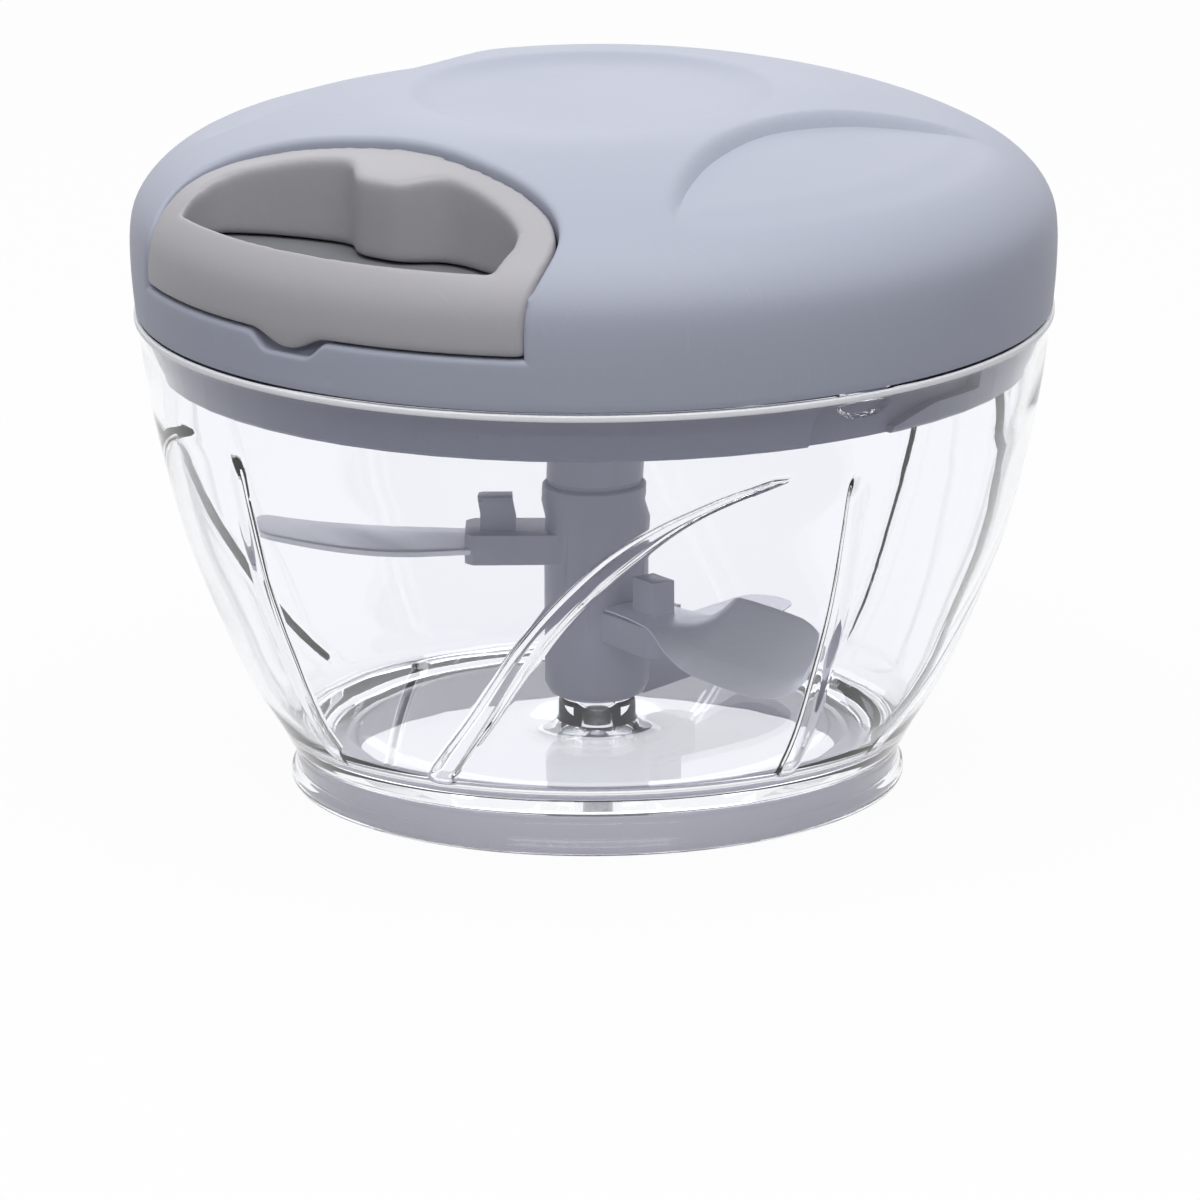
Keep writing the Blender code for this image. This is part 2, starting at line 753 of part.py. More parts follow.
def make_blade(name, angle, height, reach, root_pitch, tip_pitch, rise):
    out = direction(angle)
    across = Vector((-out.y, out.x, 0.0))
    up = Vector((0.0, 0.0, 1.0))
    rings = []
    for share in np.linspace(0.0, 1.0, BLADE_STEPS + 1):
        share = float(share)
        bend = max(0.0, share - BLADE_TWIST_FROM) / (1.0 - BLADE_TWIST_FROM)
        eased = bend * bend * (3.0 - 2.0 * bend)
        pitch = math.radians(root_pitch + (tip_pitch - root_pitch) * eased)
        chord = smooth_between(BLADE_CHORDS, share)
        middle = out * (BLADE_ROOT + share * (reach - BLADE_ROOT))
        middle += across * (BLADE_SWEEP * bend * bend) + up * (height + rise * bend)
        flat = across * math.cos(pitch) + up * math.sin(pitch)
        normal = up * math.cos(pitch) - across * math.sin(pitch)
        thick = normal * (BLADE_THICKNESS / 2)
        thin = normal * (BLADE_EDGE / 2)
        front = middle - flat * (chord / 2)
        shoulder = middle - flat * (chord * 0.22)
        back = middle + flat * (chord / 2)
        rings.append((front + thin, shoulder + thick, back + thick, back - thick, shoulder - thick, front - thin))
    bm = bmesh.new()
    skin(bm, rings)
    bmesh.ops.recalc_face_normals(bm, faces=bm.faces)
    blade = add_object(name, finish_mesh(bm, name, 20.0), "blade_steel")
    near = PEG_CIRCLE - PEG_LENGTH / 2 - GAP
    far = PEG_CIRCLE + PEG_LENGTH / 2 + GAP
    hole = (bar(near, far, PEG_WIDTH + 2 * GAP, angle), height - 0.003, height + 0.003)
    cut(blade, prisms(f"{name}_hole", [hole]))
    return blade


def skirt_outer(height):
    return bowl_inner(min(height, RIM_HEIGHT)) - SKIRT_PLAY


def make_lid_seal():
    outer = RABBET_RADIUS - GAP
    inner = outer - SEAL_WIDTH
    top = PLATE_BOTTOM - GAP
    bottom = top - SEAL_THICKNESS
    return turned("lid_seal", [(inner, top), (outer, top), (outer, bottom), (inner, bottom)], "grey_rubber")


def make_lid_base():
    top = PLATE_TOP
    collar = BORE_RADIUS + COLLAR_WALL
    skirt_inner = skirt_outer(RIM_HEIGHT) - SKIRT_WALL
    profile = [
        (collar, top + COLLAR_HEIGHT),
        (collar, top),
        (RABBET_RADIUS - GAP, top),
        (RABBET_RADIUS - GAP, PLATE_BOTTOM),
        (skirt_outer(RIM_HEIGHT), PLATE_BOTTOM),
        (skirt_outer(RIM_HEIGHT), RIM_HEIGHT),
        (skirt_outer((RIM_HEIGHT + SKIRT_BOTTOM) / 2), (RIM_HEIGHT + SKIRT_BOTTOM) / 2),
        (skirt_outer(SKIRT_BOTTOM + 0.0005), SKIRT_BOTTOM + 0.0005),
        (skirt_outer(SKIRT_BOTTOM) - 0.0005, SKIRT_BOTTOM),
        (skirt_inner + 0.0003, SKIRT_BOTTOM),
        (skirt_inner, SKIRT_BOTTOM + 0.0004),
        (skirt_inner, PLATE_BOTTOM),
        (BORE_RADIUS, PLATE_BOTTOM),
        (BORE_RADIUS, top + COLLAR_HEIGHT),
    ]
    plate = turned("lid_base", profile, "plate_plastic")
    low = SKIRT_BOTTOM - 0.001
    lip = LUG_HEIGHT - LUG_HALF_HEIGHT - GAP
    ceiling = LUG_HEIGHT + LUG_HALF_HEIGHT + GAP
    columns = [(turn, low, LUG_HEIGHT + rise) for turn, rise in RAMP_STATIONS]
    columns += [(turn, low, ceiling) for turn in (RAMP_TOP_TURN, -2.0, 2.0, LIP_START)]
    columns += [(LIP_START + 0.15, SKIRT_BOTTOM + 0.0009, ceiling)]
    columns += [(turn, lip, ceiling) for turn in (LIP_END, 17.0, LOCK_TURN + LIP_START)]
    bm = bmesh.new()
    for angle in LUG_ANGLES:
        rings = []
        for turn, bottom, above in columns:
            near = polar(bowl_inner(LUG_HEIGHT) - CHANNEL_DEPTH, angle + turn)
            far = polar(RABBET_RADIUS, angle + turn)
            rings.append([point + Vector((0.0, 0.0, z)) for point, z in ((near, bottom), (far, bottom), (far, above), (near, above))])
        skin(bm, rings)
    bmesh.ops.triangulate(bm, faces=bm.faces)
    bmesh.ops.recalc_face_normals(bm, faces=bm.faces)
    channels = add_object("lock_channels", finish_mesh(bm, "lock_channels"))
    holes = []
    for angle in SCREW_ANGLES:
        center = polar(SCREW_CIRCLE, angle).xy
        holes.append((circle(SCREW_RADIUS + GAP, SCREW_STEPS, center), PLATE_BOTTOM - 0.001, top + 0.001))
    cut(plate, channels, prisms("plate_screw_holes", holes))
    return plate


def mirrored(stations, offset=0.0):
    """A half outline of (across, out) stations, moved outward by the offset and mirrored."""
    points = [Vector(station) for station in stations]
    moved = []
    for i, point in enumerate(points):
        before = points[i - 1] if i else Vector((-points[1].x, points[1].y))
        after = points[i + 1] if i + 1 < len(points) else point + (point - points[i - 1])
        along = (after - before).normalized()
        moved.append(point + Vector((along.y, -along.x)) * offset)
    right = [(point.x, -point.y) for point in moved]
    left = [(-x, y) for x, y in reversed(right[1:])]
    return right + left


def arc_pocket(radius, half_width, reach=0.070):
    """A plan outline beyond a radius, between two straight flanks, open towards -Y."""
    edge = math.degrees(math.asin(half_width / radius))
    points = arc_points(radius, -edge, edge, 17)
    points[0] = Vector((-half_width, points[0].y))
    points[-1] = Vector((half_width, points[-1].y))
    return points + [Vector((half_width, -reach)), Vector((-half_width, -reach))]


def along_y(obj, height):
    """Turns a piece that was made on +Z to point along -Y at the given height."""
    obj.rotation_euler = (math.radians(90.0), 0.0, 0.0)
    obj.location = (0.0, 0.0, height)
    return obj


def raised(stations):
    return [(radius, LID_BOTTOM + rise) for radius, rise in stations]


def lid_outside():
    """The lid's outer profile from its centre to the foot of its side."""
    shoulder = [(LID_RADIUS - inset, LID_BOTTOM + rise) for inset, rise in SHOULDER_STATIONS]
    return raised(LID_TOP_STATIONS) + shoulder


def lid_top():
    return max(height for _, height in lid_outside())


def make_lid_cover():
    middle = (LID_RADIUS + LIP_RADIUS) / 2
    lip = [(middle, LID_BOTTOM + LIP_TAPER_HEIGHT), (LIP_RADIUS, LID_BOTTOM), (0.0, LID_BOTTOM)]
    cover = turned("lid_cover", lid_outside() + lip, "lid_plastic", closed=False)

    inner = LID_RADIUS - LID_WALL
    inside = raised(CAVITY_STATIONS) + [(inner - inset, LID_BOTTOM + rise) for inset, rise in CAVITY_SHOULDER_STATIONS]
    inside += [(inner - 0.0003, RABBET_TOP), (RABBET_RADIUS, RABBET_TOP), (RABBET_RADIUS, LID_BOTTOM - 0.0006), (0.0, LID_BOTTOM - 0.0006)]
    cavity = turned("lid_cavity", inside, closed=False)
    flank = HANDLE_STATIONS[-1][0] + POCKET_PLAY
    above = lid_top() + 0.0050
    pocket_block = prism("pocket_block", mirrored(HANDLE_STATIONS, POCKET_PLAY + POCKET_WALL), POCKET_FLOOR - POCKET_WALL, above)
    ledge_block = prism("ledge_block", arc_pocket(LEDGE_RADIUS - POCKET_WALL, flank + POCKET_WALL), RABBET_TOP, above)
    posts = []
    screw_holes = []
    for angle in SCREW_ANGLES:
        center = polar(SCREW_CIRCLE, angle).xy
        posts.append((circle(SCREW_BOSS_RADIUS, 24, center), RABBET_TOP, above))
        screw_holes.append((circle(SCREW_RADIUS + GAP, SCREW_STEPS, center), RABBET_TOP - 0.001, PLATE_BOTTOM - GAP + SCREW_LENGTH))
    posts.append((circle(AXLE_BOSS_RADIUS, 24), REEL_TOP + 0.0005, above))
    screw_holes.append((circle(AXLE_RADIUS + GAP, SMALL_STEPS), REEL_TOP - 0.001, AXLE_TOP + GAP))
    cut(cavity, pocket_block, ledge_block, prisms("lid_posts", posts))

    lobe_shapes = []
    for angle in LOBE_ANGLES:
        out = direction(angle)
        side = Vector((-out.y, out.x, 0.0))
        right = [out * reach + side * across for reach, across in LOBE_OUTLINE]
        left = [out * reach - side * across for reach, across in reversed(LOBE_OUTLINE[1:])]
        lobe_shapes.append(([point.xy for point in right + left], LID_BOTTOM + 0.0115, above))
    lobes = prisms("lobes", lobe_shapes)
    surface = raised(LOBE_STATIONS)
    far = LID_RADIUS + 0.0060
    core = [(0.0, surface[0][1]), *surface, (far, surface[-1][1] - 0.0002), (far, LID_BOTTOM), (0.0, LID_BOTTOM)]
    cut(lobes, turned("lobe_core", core, closed=False))

    pocket = prism("pocket_void", mirrored(HANDLE_STATIONS, POCKET_PLAY), POCKET_FLOOR, above)
    ledge = prism("ledge_void", arc_pocket(LEDGE_RADIUS, flank), LEDGE_TOP, above)
    scoop_plan = arc_pocket(LEDGE_RADIUS + 0.0010, SCOOP_HALF_WIDTH)
    scoop = prism("scoop", scoop_plan, LEDGE_TOP - SCOOP_DEPTH, LEDGE_TOP + 0.0006)
    wall = HANDLE_STATIONS[0][1]
    guide_hole = along_y(cylinder("guide_hole", GUIDE_RADIUS + GAP, wall - 0.0048, wall + 0.0012, steps=24), CORD_HEIGHT)
    cut(cover, cavity, pocket, ledge, scoop, lobes, guide_hole, prisms("cover_screw_holes", screw_holes))
    return cover


def make_screw(name, angle):
    head_top = PLATE_BOTTOM - GAP
    profile = [
        (0.0, SCREW_LENGTH - GAP),
        (SCREW_RADIUS * 0.4, SCREW_LENGTH - GAP),
        (SCREW_RADIUS, SCREW_LENGTH - 0.0014),
        (SCREW_RADIUS, 0.0),
        (SCREW_HEAD_RADIUS, 0.0),
        (SCREW_HEAD_RADIUS, -SCREW_HEAD_HEIGHT * 0.55),
        (SCREW_HEAD_RADIUS * 0.72, -SCREW_HEAD_HEIGHT),
        (0.0, -SCREW_HEAD_HEIGHT),
    ]
    screw = turned(name, profile, "bright_steel", SCREW_STEPS, closed=False)
    screw.location = polar(SCREW_CIRCLE, angle, head_top)
    return screw


def make_axle():
    edge = 0.0003
    profile = [
        (0.0, AXLE_TOP),
        (AXLE_RADIUS - edge, AXLE_TOP),
        (AXLE_RADIUS, AXLE_TOP - edge),
        (AXLE_RADIUS, AXLE_FOOT),
        (0.0, AXLE_FOOT),
    ]
    return turned("axle", profile, "bright_steel", SMALL_STEPS, closed=False)


def make_coupler():
    floor = COUPLER_SEAT
    inner = COUPLER_RADIUS - COUPLER_WALL
    bore = AXLE_RADIUS + GAP
    profile = [
        (0.0, AXLE_FOOT - GAP),
        (bore, AXLE_FOOT - GAP),
        (bore, floor + COUPLER_FLOOR),
        (inner, floor + COUPLER_FLOOR),
        (inner, COUPLER_TOP),
        (COUPLER_RADIUS, COUPLER_TOP),
        (COUPLER_RADIUS, floor),
        (COUPLER_HUB_RADIUS, floor),
        (COUPLER_HUB_RADIUS, COUPLER_HUB_BOTTOM + 0.0004),
        (COUPLER_HUB_RADIUS - 0.0004, COUPLER_HUB_BOTTOM),
        (SOCKET_RADIUS, COUPLER_HUB_BOTTOM),
        (SOCKET_RADIUS, SOCKET_TOP),
        (0.0, SOCKET_TOP),
    ]
    coupler = turned("coupler", profile, "white_nylon", INNER_STEPS, closed=False)
    ribs = []
    for i in range(DOG_COUNT):
        middle = (i + 0.5) * 360.0 / DOG_COUNT + 60.0 - DOG_ANGLE - DOG_SIDE_PLAY
        plan = sector(DOG_INNER_RADIUS, SOCKET_RADIUS + EMBED, middle - DOG_ANGLE / 2, middle + DOG_ANGLE / 2)
        ribs.append((plan, SOCKET_RIB_FOOT, SOCKET_TOP + EMBED))
    teeth = []
    root = inner + EMBED / 2
    for i in range(RATCHET_TEETH):
        tip = PAWL_ANGLES[0] - PAWL_LEAD - PAWL_TIP_PLAY + i * 360.0 / RATCHET_TEETH
        plan = [
            polar(root, tip - TOOTH_SLOPE_ANGLE).xy,
            polar(root, tip - TOOTH_SLOPE_ANGLE / 2).xy,
            polar(root, tip + 1.5).xy,
            polar(TOOTH_TIP_RADIUS, tip).xy,
        ]
        teeth.append((plan, floor + COUPLER_FLOOR - EMBED / 2, COUPLER_TOP - 0.0006))
    join(coupler, prisms("socket_ribs", ribs), prisms("ratchet_teeth", teeth))
    return coupler


def make_reel():
    groove = REEL_FLOOR + FLANGE
    under_flange = groove + GROOVE_HEIGHT
    top = under_flange + FLANGE
    foot = REEL_FOOT
    bore = AXLE_RADIUS + GAP
    inner = DRUM_RADIUS - DRUM_WALL
    rebate = inner + 0.0012
    edge = 0.0003
    profile = [
        (rebate, top),
        (REEL_RADIUS - edge, top),
        (REEL_RADIUS, top - edge),
        (REEL_RADIUS - edge, under_flange),
        (DRUM_RADIUS, under_flange),
        (DRUM_RADIUS, groove),
        (REEL_RADIUS - edge, groove),
        (REEL_RADIUS, REEL_FLOOR + edge),
        (REEL_RADIUS - edge, REEL_FLOOR),
        (HUB_RADIUS, REEL_FLOOR),
        (HUB_RADIUS, foot),
        (bore, foot),
        (bore, groove),
        (inner, groove),
        (inner, top - SPRING_COVER_THICKNESS - GAP),
        (rebate, top - SPRING_COVER_THICKNESS - GAP),
    ]
    reel = turned("reel", profile, "white_nylon", INNER_STEPS)
    pins = []
    for angle in PAWL_ANGLES:
        pins.append((circle(PAWL_PIN_RADIUS, 20, polar(PAWL_CIRCLE, angle).xy), PAWL_PIN_FOOT, REEL_FLOOR + EMBED / 2))
    join(reel, prisms("pawl_pins", pins))
    return reel


def make_spring_cover():
    top = REEL_TOP
    outer = DRUM_RADIUS - DRUM_WALL + 0.0012 - GAP
    bore = AXLE_RADIUS + GAP
    bottom = top - SPRING_COVER_THICKNESS
    return turned("spring_cover", [(bore, top), (outer, top), (outer, bottom), (bore, bottom)], "bright_steel", INNER_STEPS)


def make_power_spring():
    """A flat spiral strip between the axle and the drum."""
    start = AXLE_RADIUS + GAP + SPRING_THICKNESS / 2
    end = DRUM_RADIUS - DRUM_WALL - GAP - SPRING_THICKNESS / 2 - 0.00005
    bottom = REEL_FLOOR + FLANGE + GAP
    top = bottom + SPRING_HEIGHT
    rings = []
    for share in np.linspace(0.0, 1.0, int(SPRING_TURNS * SPRING_POINTS) + 1):
        radius = start + (end - start) * float(share)
        angle = 360.0 * SPRING_TURNS * float(share)
        near = polar(radius - SPRING_THICKNESS / 2, angle)
        far = polar(radius + SPRING_THICKNESS / 2, angle)
        rings.append([point + Vector((0.0, 0.0, z)) for point, z in ((near, bottom), (far, bottom), (far, top), (near, top))])
    bm = bmesh.new()
    skin(bm, rings)
    bmesh.ops.recalc_face_normals(bm, faces=bm.faces)
    return add_object("power_spring", finish_mesh(bm, "power_spring"), "bright_steel")


def make_pawl(name, angle):
    """A pawl about its own pin, with its tip towards the ratchet ring."""
    pivot = polar(PAWL_CIRCLE, angle)
    tip = polar(PAWL_REACH_RADIUS - PAWL_TIP_RADIUS, angle - PAWL_LEAD) - pivot
    outline = hull(circle(PAWL_EYE_RADIUS, 24) + circle(PAWL_TIP_RADIUS, 12, tip.xy))
    pawl = prism(name, outline, PAWL_BOTTOM, PAWL_TOP, "white_nylon")
    hole = prism(f"{name}_eye", circle(PAWL_PIN_RADIUS + GAP, 20), PAWL_BOTTOM - 0.001, PAWL_TOP + 0.001)
    for piece in (pawl, hole):
        piece.location = pivot
    cut(pawl, hole)
    return pawl


def winding_radius():
    return DRUM_RADIUS + GAP + CORD_RADIUS


def feed_angle():
    """Where the straight cord to the guide leaves the winding, as an angle from -Y."""
    return math.degrees(math.acos(winding_radius() / CORD_BEND_REACH))


def winding_points():
    top = REEL_FLOOR + FLANGE + GROOVE_HEIGHT - GAP - CORD_RADIUS
    count = int(round(CORD_TURNS * POINTS_PER_TURN))
    points = []
    for i in range(count + 1):
        turn = i / POINTS_PER_TURN
        points.append(polar(winding_radius(), feed_angle() + 360.0 * turn, top - CORD_PITCH * turn))
    return points


def least_gap(points, radius):
    """The least clear distance between turns, on points at least half a turn apart."""
    places = np.array([tuple(point) for point in points])
    steps = np.linalg.norm(places[:, None] - places[None, :], axis=2)
    apart = np.abs(np.subtract.outer(np.arange(len(places)), np.arange(len(places))))
    return float(steps[apart >= POINTS_PER_TURN // 2].min()) - 2 * radius


def make_cords():
    winding = winding_points()
    print(f"cord winding, least gap to itself: {least_gap(winding, CORD_RADIUS) * 1000:.2f} mm")
    tube("cord_winding", winding, CORD_RADIUS, "cord")

    leave = winding[0]
    corner = Vector((0.0, -CORD_BEND_REACH, CORD_HEIGHT))
    toward = (corner - leave).normalized()
    start = leave + toward * GAP
    bend = 0.0022
    ahead = Vector((0.0, -1.0, 0.0))
    first = corner - toward * bend
    last = corner + ahead * bend
    points = [start, start + (first - start) * 0.5]
    for share in (0.0, 0.25, 0.5, 0.75, 1.0):
        points.append(first * (1 - share) ** 2 + corner * (2 * share * (1 - share)) + last * share**2)
    wall_near = HANDLE_STATIONS[0][1] - POCKET_PLAY
    points.append(Vector((0.0, -wall_near, CORD_HEIGHT)))
    tube("cord_feed", points, CORD_RADIUS, "cord")

    begin = wall_near + GAP
    run = [Vector((0.0, -place, CORD_HEIGHT)) for place in np.linspace(begin, KNOT_SEAT, 4)]
    tube("cord_run", run, CORD_RADIUS, "cord")


def make_cord_guide():
    wall_far = HANDLE_STATIONS[0][1] - POCKET_PLAY
    wall_near = wall_far - POCKET_WALL
    shoulder = wall_near - GAP
    profile = [
        (CORD_HOLE_RADIUS, wall_far),
        (GUIDE_RADIUS, wall_far),
        (GUIDE_RADIUS, shoulder),
        (GUIDE_FLANGE_RADIUS, shoulder),
        (GUIDE_FLANGE_RADIUS, shoulder - GUIDE_FLANGE_THICKNESS),
        (CORD_HOLE_RADIUS, shoulder - GUIDE_FLANGE_THICKNESS),
    ]
    return along_y(turned("cord_guide", profile, "bright_steel", 24), CORD_HEIGHT)


def make_handle():
    low = LEDGE_TOP + GAP
    above = lid_top() + 0.0040
    handle = prism("handle", mirrored(HANDLE_STATIONS), low, above, "handle_plastic")
    shell = [(radius, height - HANDLE_SINK) for radius, height in lid_outside()[:-1]]
    shell += [(LID_RADIUS, low - 0.0010), (0.0, low - 0.0010)]
    keep_inside(handle, turned("handle_shell", shell, closed=False))

    under = cylinder("handle_underside", GRIP_RADIUS, low - 0.002, POCKET_FLOOR + GAP, steps=RING_STEPS)
    edge = math.degrees(math.asin(OPENING_STATIONS[-1][0] / GRIP_RADIUS))
    grip_arc = [(point.x, point.y) for point in arc_points(GRIP_RADIUS, edge, -edge, 13)]
    half = [(across, -reach) for across, reach in OPENING_STATIONS]
    opening_plan = half + grip_arc + [(-x, y) for x, y in reversed(half[1:])]
    opening = prism("finger_opening", opening_plan, low - 0.002, above + 0.001)
    cut(handle, under, opening)
    tongue_plan = sector(GRIP_RADIUS + 0.0004, LID_RADIUS - 0.0003, -TONGUE_HALF_ANGLE, TONGUE_HALF_ANGLE, 5)
    join(handle, prism("handle_tongue", tongue_plan, low - TONGUE_DROP, low + EMBED))
    wall = HANDLE_STATIONS[0][1]
    hole = along_y(cylinder("cord_hole", CORD_HOLE_RADIUS, wall - 0.0018, KNOT_SEAT + 0.001, steps=16), CORD_HEIGHT)
    chamber = bar(KNOT_SEAT, CHAMBER_END, 2 * CHAMBER_HALF_WIDTH, 0.0)
    seat = prism("knot_chamber", [(p.x, p.y) for p in chamber], low, CORD_HEIGHT + CHAMBER_HALF_WIDTH)
    cut(handle, hole, seat)
    return handle


def make_cord_knot():
    start = KNOT_SEAT + GAP
    end = start + KNOT_LENGTH
    profile = [
        (0.0, end),
        (KNOT_RADIUS * 0.6, end),
        (KNOT_RADIUS * 0.93, end - KNOT_LENGTH * 0.22),
        (KNOT_RADIUS, end - KNOT_LENGTH * 0.5),
        (KNOT_RADIUS * 0.93, start + KNOT_LENGTH * 0.22),
        (KNOT_RADIUS * 0.6, start),
        (0.0, start),
    ]
    return along_y(turned("cord_knot", profile, "cord", 16, closed=False), CORD_HEIGHT)


def make_cord_plug():
    """Closes the knot's chamber from below."""
    plan = bar(KNOT_SEAT + GAP, CHAMBER_END - GAP, 2 * (CHAMBER_HALF_WIDTH - GAP), 0.0)
    foot = POCKET_FLOOR + 2 * GAP
    return prism("cord_plug", [(p.x, p.y) for p in plan], foot, foot + PLUG_THICKNESS, "handle_plastic")


def main():
    make_bowl()
    make_base_ring()
    make_center_pin()
    make_blade_shaft()
    for blade in BLADES:
        make_blade(*blade)
    make_lid_seal()
    make_lid_cover()
    make_lid_base()
    for i, angle in enumerate(SCREW_ANGLES):
        make_screw(f"lid_screw_{i + 1}", angle)
    make_axle()
    make_coupler()
    make_reel()
    make_spring_cover()
    make_power_spring()
    for i, angle in enumerate(PAWL_ANGLES):
        make_pawl(f"pawl_{i + 1}", angle)
    make_cord_guide()
    make_cords()
    make_handle()
    make_cord_knot()
    make_cord_plug()


main()
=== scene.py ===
"""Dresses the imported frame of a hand-pulled food chopper and sets it in a small studio.

Shapes are worked out in millimetres and made in metres, in the frame of the CAD model.
There +Z is up, and the handle pulls out along -Y.
Angles are measured from -Y towards +X.
"""

import math

import bmesh
import bpy
import numpy as np
from mathutils import Matrix, Vector, geometry


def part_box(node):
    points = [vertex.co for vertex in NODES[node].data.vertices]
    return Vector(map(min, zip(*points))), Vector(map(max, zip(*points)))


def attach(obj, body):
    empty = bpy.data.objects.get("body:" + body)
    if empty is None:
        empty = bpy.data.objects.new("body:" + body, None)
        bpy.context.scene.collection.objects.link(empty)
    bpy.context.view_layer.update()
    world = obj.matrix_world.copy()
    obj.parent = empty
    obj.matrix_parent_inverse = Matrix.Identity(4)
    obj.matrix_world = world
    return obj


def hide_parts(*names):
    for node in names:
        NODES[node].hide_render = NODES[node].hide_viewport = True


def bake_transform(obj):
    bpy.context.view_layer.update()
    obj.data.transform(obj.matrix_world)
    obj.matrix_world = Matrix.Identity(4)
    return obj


bl_info = {
    "name": "Cord Chopper",
    "version": (1, 0, 0),
    "blender": (4, 5, 0),
    "location": "3D View > Sidebar > Chopper",
    "description": "Builds the visible pieces of a hand-pulled food chopper over its packed frame",
    "category": "Object",
}

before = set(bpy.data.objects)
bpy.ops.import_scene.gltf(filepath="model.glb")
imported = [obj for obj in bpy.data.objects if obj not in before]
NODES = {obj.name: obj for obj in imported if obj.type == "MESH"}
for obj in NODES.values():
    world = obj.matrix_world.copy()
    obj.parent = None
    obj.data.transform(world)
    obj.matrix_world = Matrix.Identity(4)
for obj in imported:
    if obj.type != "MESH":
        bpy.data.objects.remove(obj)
MM = 0.001

# The lid from its centre down to its lower lip, as (radius, height) in millimetres
LID_RADIUS = 62.35
SHOULDER_RADIUS = 61.6
SIDE_TOP = 77.5
DISH_RADIUS = 24.6
DISH_EDGE = (DISH_RADIUS, 95.42)
LID_DISH = ((0.0, 93.75), (8.0, 93.78), (14.0, 93.88), (18.0, 94.08), (21.4, 94.46), DISH_EDGE)
LID_DOME = (
    DISH_EDGE,
    (26.6, 95.38),
    (31.0, 94.95),
    (36.0, 93.9),
    (42.0, 92.3),
    (48.0, 90.3),
    (54.0, 87.7),
    (58.0, 85.2),
    (60.5, 82.6),
    (61.9, 79.9),
    (LID_RADIUS, 77.0),
    (LID_RADIUS, 73.5),
    (62.1, 69.5),
    (61.8, 66.5),
)

# The finger lobes: the sunk surface as (radius, height), and the edge as (along, out) from the lid's middle
LOBE_FLOOR = (
    (24.0, 95.0),
    (30.0, 93.4),
    (36.0, 92.3),
    (42.0, 91.0),
    (48.0, 89.6),
    (54.0, 87.6),
    (60.0, 84.6),
)
LOBE_EDGE = (
    (0.0, 30.2),
    (4.0, 30.45),
    (8.0, 31.05),
    (12.0, 31.9),
    (16.0, 33.0),
    (20.0, 34.5),
    (24.0, 36.3),
    (29.5, 39.3),
    (33.0, 43.0),
    (35.0, 50.0),
    (36.0, 66.0),
)
LOBE_SLOPE = 2.3
LOBE_POWER = 2.2
LOBE_FULL_DEPTH = 1.5
LOBE_FADE_FROM = 27.0
LOBE_FADE = 8.0

# Half outlines in plan of the handle and its finger opening, as (across, out)
HANDLE_EDGE = (
    (0.0, 34.8),
    (5.5, 35.1),
    (11.0, 35.9),
    (16.5, 36.8),
    (22.0, 38.2),
    (26.8, 40.2),
    (30.0, 42.6),
    (32.0, 45.8),
    (32.7, 49.5),
    (32.7, 54.0),
)
OPENING_EDGE = (
    (0.0, 44.0),
    (2.6, 43.9),
    (4.8, 42.8),
    (6.6, 41.1),
    (8.8, 40.0),
    (12.0, 40.1),
    (18.0, 41.5),
    (23.2, 43.6),
    (26.2, 46.0),
    (27.2, 49.0),
)
GRIP_RADIUS = 58.7
HANDLE_LIFT = 0.22
TONGUE_HALF_ANGLE = 6.4
TONGUE_DEPTH = 1.05

# The handle's pocket: its floor, and the lower ledge under the bar with the scoop for a fingertip
POCKET_FLOOR = 79.7
LEDGE_TOP = 73.3
LEDGE_RADIUS = 56.4
SCOOP_HALF_WIDTH = 7.0
SCOOP_FLAT = 3.4
SCOOP_DEPTH = 2.3
LID_WALL = 1.8

# The cord: the height of its straight run, its winding on the drum, and its guide
CORD_HEIGHT = 86.0
WINDING_RADIUS = 19.7
WINDING_TURNS = 2.3
WINDING_PITCH = 2.1
WINDING_TOP = 88.3
LEAVING_RADIUS = 29.0

# Outer wall of the bowl as (height, radius)
RIM_TOP = 66.2
BOWL_WALL = (
    (4.4, 41.1),
    (7.0, 42.1),
    (15.0, 46.9),
    (25.0, 51.5),
    (35.0, 55.4),
    (45.0, 58.1),
    (55.0, 60.2),
    (RIM_TOP, 61.7),
)

# The ribs repeat every quarter turn: an upright one at an angle, and a swept one as (height, angle)
QUARTER = 90.0
UPRIGHT_RIB = -13.5
SWEPT_RIB = (
    (10.8, 11.2),
    (20.7, 21.8),
    (31.3, 30.2),
    (41.1, 39.0),
    (46.0, 44.6),
    (49.6, 50.0),
    (52.2, 55.6),
    (54.0, 61.0),
    (55.1, 65.5),
)
RIB_FOOT = 10.4
RIB_FOOT_FADE = 1.6

# The lock's lugs inside the rim
LUG_ANGLES = (76.3, 256.3)
LUG_HEIGHT = 64.1
LUG_HALF_WIDTH = 3.8
LUG_HALF_HEIGHT = 1.66

